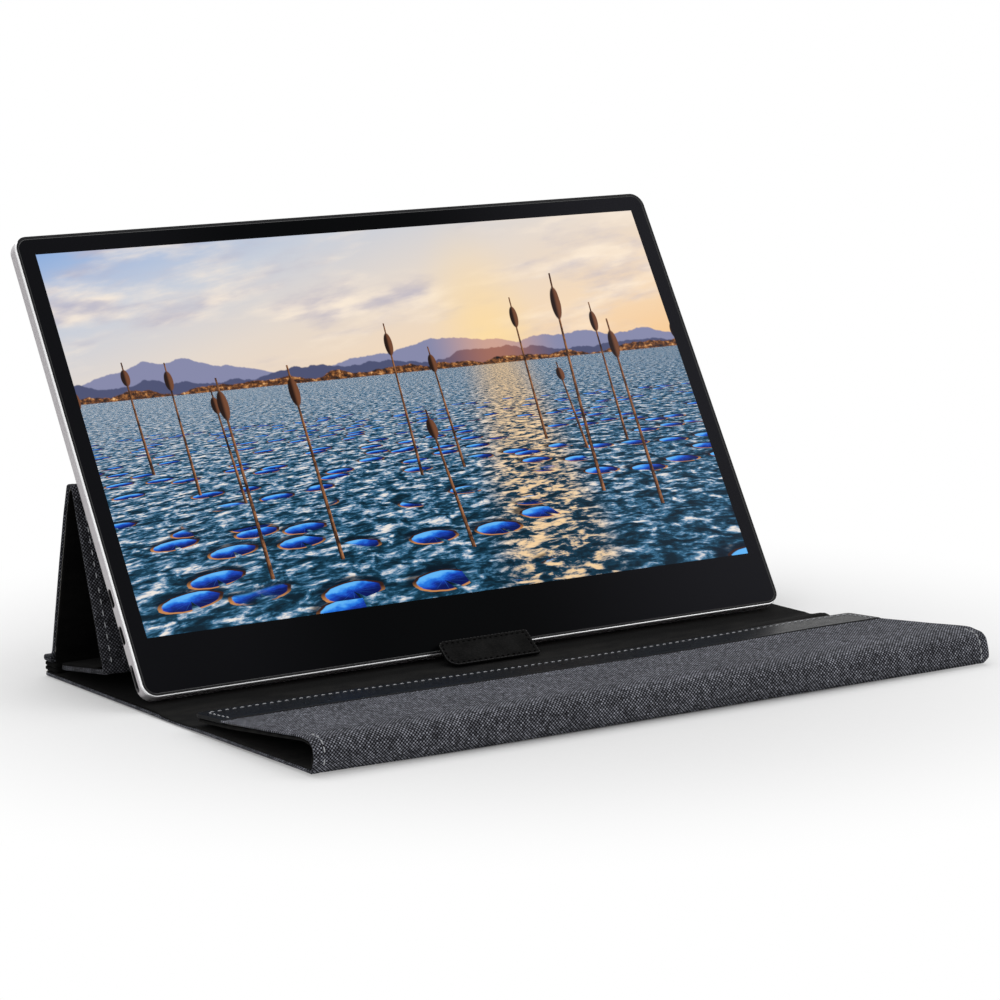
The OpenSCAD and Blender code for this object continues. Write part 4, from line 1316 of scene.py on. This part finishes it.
# Stand
stand = {
    "half": 185.5,
    "cloth": 2.2,
    "clothRoll": 1.47,  # thickness where the cloth goes round the roll
    "lining": 1.1,
    "liningIn": 0.7,
    "layer": 2.15,  # one fold of the rear spine
    "layerRun": (97.0, 84.0),  # y of its rear and front edge
    "layerIn": 0.2,
    "layerGap": 0.05,
    "fold": 0.6,
    "foldIn": 1.0,
    "stitchIn": 4.4,
    "stitchDent": (0.16, 0.7),
    # from under the roll, round its rear, up the rear panel, over the top, down the leg and under the foot
    "path": (
        (88.8, 7.15, 0), (97.1, 7.15, 1.5), (97.1, 10.15, 1.5), (90.0, 10.15, 1.2), (88.5, 13.6, 5),
        (84.5, 31.5, 90), (78.4, 57.9, 120), (72.7, 80.8, 90), (68.5, 94.9, 1.6), (62.2, 95.3, 1.7),
        (58.7, 83.8, 60), (52.3, 63.2, 60), (43.9, 37.9, 60), (36.2, 14.0, 40), (35.4, 10.6, 1.6),
        (40.0, 10.2, 3), (80.2, 5.2, 0),
    ),
    "foldPath": ((84.2, 7.1, 0), (85.8, 7.4, 0.8), (86.3, 9.5, 2), (85.7, 12.4, 3), (84.6, 16.5, 0)),
    "foldTurn": ((86.0, 8.0), (85.4, 14.5)),
}
standLine = Line(stand["path"], flipped=True)
onStand = standLine.nearest
sMidPanel = onStand(78.4, 57.9)
sMidLeg = onStand(48.5, 51.5)
sStandEnd = standLine.length
standThick = steps(
    (0, stand["clothRoll"]), (onStand(90.6, 10.2), stand["clothRoll"]),
    (onStand(88.2, 15.0), stand["cloth"]), (sStandEnd, stand["cloth"]),
)


def makeStandCloth():
    # three sheets along the stand's line, and a row of stitches near both edges of each panel
    half, inset = stand["half"], stand["stitchIn"]
    rows = (
        ("standClothBack", 0, sMidPanel, "stand_fold", [], ("round", "cut")),
        ("standClothTop", sMidPanel, sMidLeg, "leg_fold", ["stand_back_cloth"], ("cut", "cut")),
        ("standClothFoot", sMidLeg, sStandEnd, "foot_fold", ["leg_cloth", "foot_cloth"], ("cut", "round")),
    )
    slabs = {}
    for name, start, end, fold, nodes, ends in rows:
        slabs[name] = Slab(standLine, start, end, half, standThick, ends=ends, corners=(1.5, 3), step=5,
                           seam=(inset, *stand["stitchDent"], "sides"), wave=0.15,
                           offsets=(3, 4, 4.8, 5.6, 6.4, 8))
        turnAt(clothSheet(name, slabs[name], "shadedStandCloth", nodes), fold)
    edge = half - inset
    plans = (
        ("panelStitches", "standClothBack", onStand(87.8, 17), sMidPanel, "stand_back"),
        ("topStitches", "standClothTop", sMidPanel + 1, onStand(69.0, 92.5), "stand_back"),
        ("legStitchesUpper", "standClothTop", onStand(61.6, 93.5), sMidLeg, "leg"),
        ("legStitchesLower", "standClothFoot", sMidLeg + 1, onStand(36.6, 14.5), "leg"),
        ("footStitches", "standClothFoot", onStand(41, 10.2), sStandEnd - 3, "foot"),
    )
    for name, of, start, end, body in plans:
        runs = [along(slabs[of], np.full(60, x), np.linspace(start, end, 60)) for x in (edge, -edge)]
        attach(sewn(name, "lightThread", runs, **seams["stand"]), body)


def bowed(start, end, bow, foot):
    # the lining's thickness: it bows by a half sine, and grows by a smooth step over its second half
    def thick(s):
        share = np.clip((s - start) / (end - start), 0, 1)
        return stand["lining"] + bow * np.sin(math.pi * share) + foot * ease(share / 0.5 - 1)

    return thick


def makeStandLining():
    # plain black panels inside, each on its own board
    rows = (
        ("liningPanel", onStand(88.3, 14.2), onStand(68.9, 93.4), "stand_back", 0.75, 0.0),
        ("liningLeg", onStand(61.8, 94.0), onStand(37.0, 16.0), "leg", 0.3, 0.8),
        ("liningFoot", onStand(42.5, 9.9), sStandEnd - 0.3, "foot", 0.0, 0.0),
    )
    for name, start, end, body, bow, foot in rows:
        slab = Slab(standLine, start, end, stand["half"] - stand["liningIn"], bowed(start, end, bow, foot),
                    lift=stand["cloth"], corners=(2, 2), step=6)
        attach(clothSheet(name, slab, "lining", [body + "_lining"]), body)


def makeFold():
    # lining that covers the inner corner, where the rear panel leaves the roll
    line = Line(stand["foldPath"])
    slab = Slab(line, 0, line.length, stand["half"] - stand["foldIn"], stand["fold"], corners=(1, 1), step=2)
    turnAt(clothSheet("liningFold", slab, "lining"), "stand_fold", stand["foldTurn"])


def makeRearSpine():
    # two folded layers under the roll
    rear, front = stand["layerRun"]
    z = baseTop + stand["layerGap"]
    for name, nodes in (("spineLayerLow", ["rear_spine"]), ("spineLayerHigh", [])):
        slab = Slab(Line([(rear, z, 0), (front, z, 0)]), 0, rear - front, stand["half"] - stand["layerIn"],
                    stand["layer"], corners=(2.0, 2.0), step=3, wave=0.05)
        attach(clothSheet(name, slab, "lining", nodes), "base_rear")
        z += stand["layer"] + stand["layerGap"]


makeStandCloth()
makeStandLining()
makeFold()
makeRearSpine()
print("stand made")

# Display
face = {
    "glassGap": 0.06,  # between rim and glass
    "glassRound": 0.22,
    "rimRound": (0.35, 0.2),  # outside and inside
    "rimSpread": 0.56,  # how far the rim covers the shell's edge above and to the right
    "ledge": 4.0,  # the rim's ledge under the glass
    "lip": (  # (inset, depth) round the shell's bright lip
        (-0.46, 0.8), (-0.50, 0.48), (-0.45, 0.40), (-0.28, 0.11),
        (-0.22, 0.08), (0.1, 0.08), (0.1, 1.3), (-0.40, 1.3),
    ),
    "edgeRadius": 0.17,  # the polished edge of the glass
    "edgeIn": 0.04,
    "edgeDeep": 0.1,
}


def screenLine(beyond=0.0):
    # up the display's face, and so far beyond it at each end
    c, s = math.cos(display["lean"]), math.sin(display["lean"])
    _, y, z = display["foot"]
    low, high = -beyond, display["height"] + beyond
    return Line([(y + c * low, z + s * low, 0), (y + c * high, z + s * high, 0)])


def makeGlass():
    inset = display["rim"] + face["glassGap"]
    slab = Slab(screenLine(), inset, display["height"] - inset, display["width"] / 2 - inset,
                display["glass"], x=display["foot"][0], rim=face["glassRound"],
                corners=(display["corner"] - inset,) * 2, step=12, offsets=(1, 3), columns=30)
    slab.uvs[:, 0] -= display["foot"][0]
    standFor(slab.piece("frontGlass", "glass"), "cover_glass", "display")


def aroundDisplay(name, inset, depth, finish, slot, spread=0.0):
    # A closed profile carried round the rounded rectangle: inset from the rim's outline, and depth.
    # What stands out does so to the left and below: there its share is 1, and 0 above and to the
    # right, where an outline with a spread grows instead.
    half = np.array([display["width"] / 2, display["height"] / 2])
    r = display["corner"]
    turn = np.linspace(0, math.pi / 2, 17)
    angles = np.concatenate([turn + k * math.pi / 2 for k in range(4)])
    signs = np.repeat(np.array([(1, 1), (-1, 1), (-1, -1), (1, -1)]), 17, axis=0)
    out = np.stack([np.cos(angles), np.sin(angles)], -1)
    share = np.clip(0.5 - out.sum(-1) / 1.2, 0, 1)[:, None]
    inset = np.where(inset < 0, inset * (0.25 + 0.75 * share), inset)
    inset = np.where(inset < 0.36, inset - spread * (1 - share), inset)[..., None]
    radius = np.maximum(r - inset, 0.3)
    extra = (inset - (r - radius)) * signs[:, None, :]
    flat = (signs * (half - r))[:, None] + out[:, None] * radius - extra
    beyond = 3.0  # room at both ends for what stands out
    depth = np.broadcast_to(depth, flat.shape[:2])
    points = screenLine(beyond).place(
        flat[..., 0] + display["foot"][0], flat[..., 1] + half[1] + beyond, depth
    )
    numbers = np.arange(points[..., 0].size).reshape(points.shape[:2])
    numbers = np.concatenate([numbers, numbers[:1]], 0)
    numbers = np.concatenate([numbers, numbers[:, :1]], 1)
    piece = meshFrom(name, points.reshape(-1, 3), quads(numbers), finishes[finish], sharp=40)
    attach(piece, "display")
    return piece


def makeRim():
    # black rim, the shell's flat bright lip outside it, and the polished edge of the glass inside it
    w, d, glass = display["rim"], display["rimDepth"], display["glass"] + 0.02
    outer, inner = face["rimRound"]
    q = np.linspace(0, math.pi / 2, 5)
    inset = np.r_[outer - outer * np.sin(q[::-1]), w - inner + inner * np.sin(q), w, w + face["ledge"],
                  w + face["ledge"], 0.0]
    depth = np.r_[outer - outer * np.cos(q[::-1]), inner - inner * np.cos(q), glass, glass, d, d]
    rim = aroundDisplay("frontRim", inset, depth, "rim", "rim_plastic", face["rimSpread"])
    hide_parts("front_rim")
    aroundDisplay("shellLip", *np.array(face["lip"]).T, "metal", "shell_metal")
    turn = np.linspace(math.pi, -math.pi, 9)[:-1]
    radius = face["edgeRadius"]
    aroundDisplay("glassEdge", w + face["edgeIn"] + radius * np.cos(turn),
                  face["edgeDeep"] - radius * np.sin(turn), "glassEdge", "front_glass")


makeGlass()
makeRim()
print("display front made")

nodesOf = {
    "board": ("rear_base_board", "front_base_board", "stand_back_board", "leg_board", "foot_board"),
    "magnet": ("base_magnets", "foot_magnets"),
    "metal": ("rear_shell",),
    "lcd": ("lcd_cell",),
    "film": ("diffuser_sheets", "reflector_sheet"),
    "clear": ("light_guide",),
    "led": ("led_bar",),
    "steel": ("panel_frame",),
    "circuit": ("timing_board", "driver_board", "button_board"),
    "cable": ("display_cable",),
    "chip": ("driver_chips",),
    "speaker": ("speakers",),
    "socket": ("usb_c_ports", "mini_hdmi_port"),
    "button": ("power_button", "menu_rocker"),
}


def dressNodes():
    for finish, names in nodesOf.items():
        for name in names:
            materials = frame["nodes"][name].data.materials
            materials.clear()
            materials.append(finishes[finish])


dressNodes()
print("frame nodes dressed")

# Floor, backdrop and light
studio = {
    "fade": (0.12, 0.37),  # metres from the middle of the floor
    "floor": ((0.90, 0.90, 0.90), (0.92, 0.92, 0.92)),
    "light": 0.36,  # strength of the world's light on the object
    "rings": (0.0, 0.4, 1.0, 3.0, 8.0),  # metres
    "sides": 48,
    "under": 0.0004,  # how far the floor lies under the part
    "lamps": {  # place, aim, size and watts
        "softTop": ((0.1, 0.35, 1.5), (0, 0, 0.05), (1.8, 1.4), 13.5),
        "softLeft": ((-1.5, -0.9, 0.9), (0, 0, 0.08), (1.0, 1.0), 4.2),
        "softRight": ((1.1, -0.71, 0.95), (0.1, 0, 0.08), (0.7, 0.7), 2.5),
    },
}


def floorFinish():
    # pale floor that goes over into pure white away from the part, for camera rays alone
    f = Finish("paleFloor")
    edge = f.ramp(f.lengthOf(f.place()), *studio["fade"])
    seen = f.node("LightPath", None, None, "Is Camera Ray")
    speckle = f.noise(f.place(), 300, 2.0)
    matt = f.node("BsdfDiffuse", None, {"Color": f.mixed(speckle, *studio["floor"])})
    white = f.node("Emission", None, {"Color": (1, 1, 1), "Strength": 1.0})
    mixed = f.node("MixShader", None, {0: edge * seen, 1: matt, 2: white})
    f.node("OutputMaterial", None, {"Surface": mixed})
    return f.owner


def makeFloor():
    # rings of points round the middle
    ring = np.linspace(0, 2 * math.pi, studio["sides"] + 1)[:-1]
    radius = np.array(studio["rings"])[:, None]
    height = np.full((len(radius), len(ring)), -studio["under"])
    points = np.stack([radius * np.cos(ring), radius * np.sin(ring), height], -1)
    numbers = np.arange(height.size).reshape(height.shape)
    numbers = np.concatenate([numbers, numbers[:, :1]], 1)
    floor = meshFrom("floor", points.reshape(-1, 3), quads(numbers), floorFinish(), sharp=0)


def makeWorld():
    # white to the camera and in reflections, and grey as a light on the object
    world = bpy.data.worlds.new("studio")
    bpy.context.scene.world = world
    f = Finish("studio", world)
    path = f.node("LightPath", None, None, "Is Camera Ray")
    seen = path.math("MAXIMUM", f.also(path, "Is Glossy Ray"))
    seen = seen.math("MAXIMUM", f.also(path, "Is Transmission Ray"))
    strength = f.ramp(seen, 0.0, 1.0, studio["light"], 1.0, smooth=False)
    background = f.node("Background", None, {"Color": (1, 1, 1), "Strength": strength})
    f.node("OutputWorld", None, {"Surface": background})


def makeLamps():
    for name, (place, aim, size, power) in studio["lamps"].items():
        data = bpy.data.lights.new(name, "AREA")
        data.shape = "RECTANGLE"
        data.size, data.size_y = size
        data.energy = power
        lamp = bpy.data.objects.new(name, data)
        lamp.location = place
        lamp.rotation_euler = (Vector(aim) - Vector(place)).to_track_quat("-Z", "Y").to_euler()
        bpy.context.scene.collection.objects.link(lamp)


makeFloor()
makeWorld()
makeLamps()
bpy.context.scene.view_settings.view_transform = "Standard"
print("floor and light made")
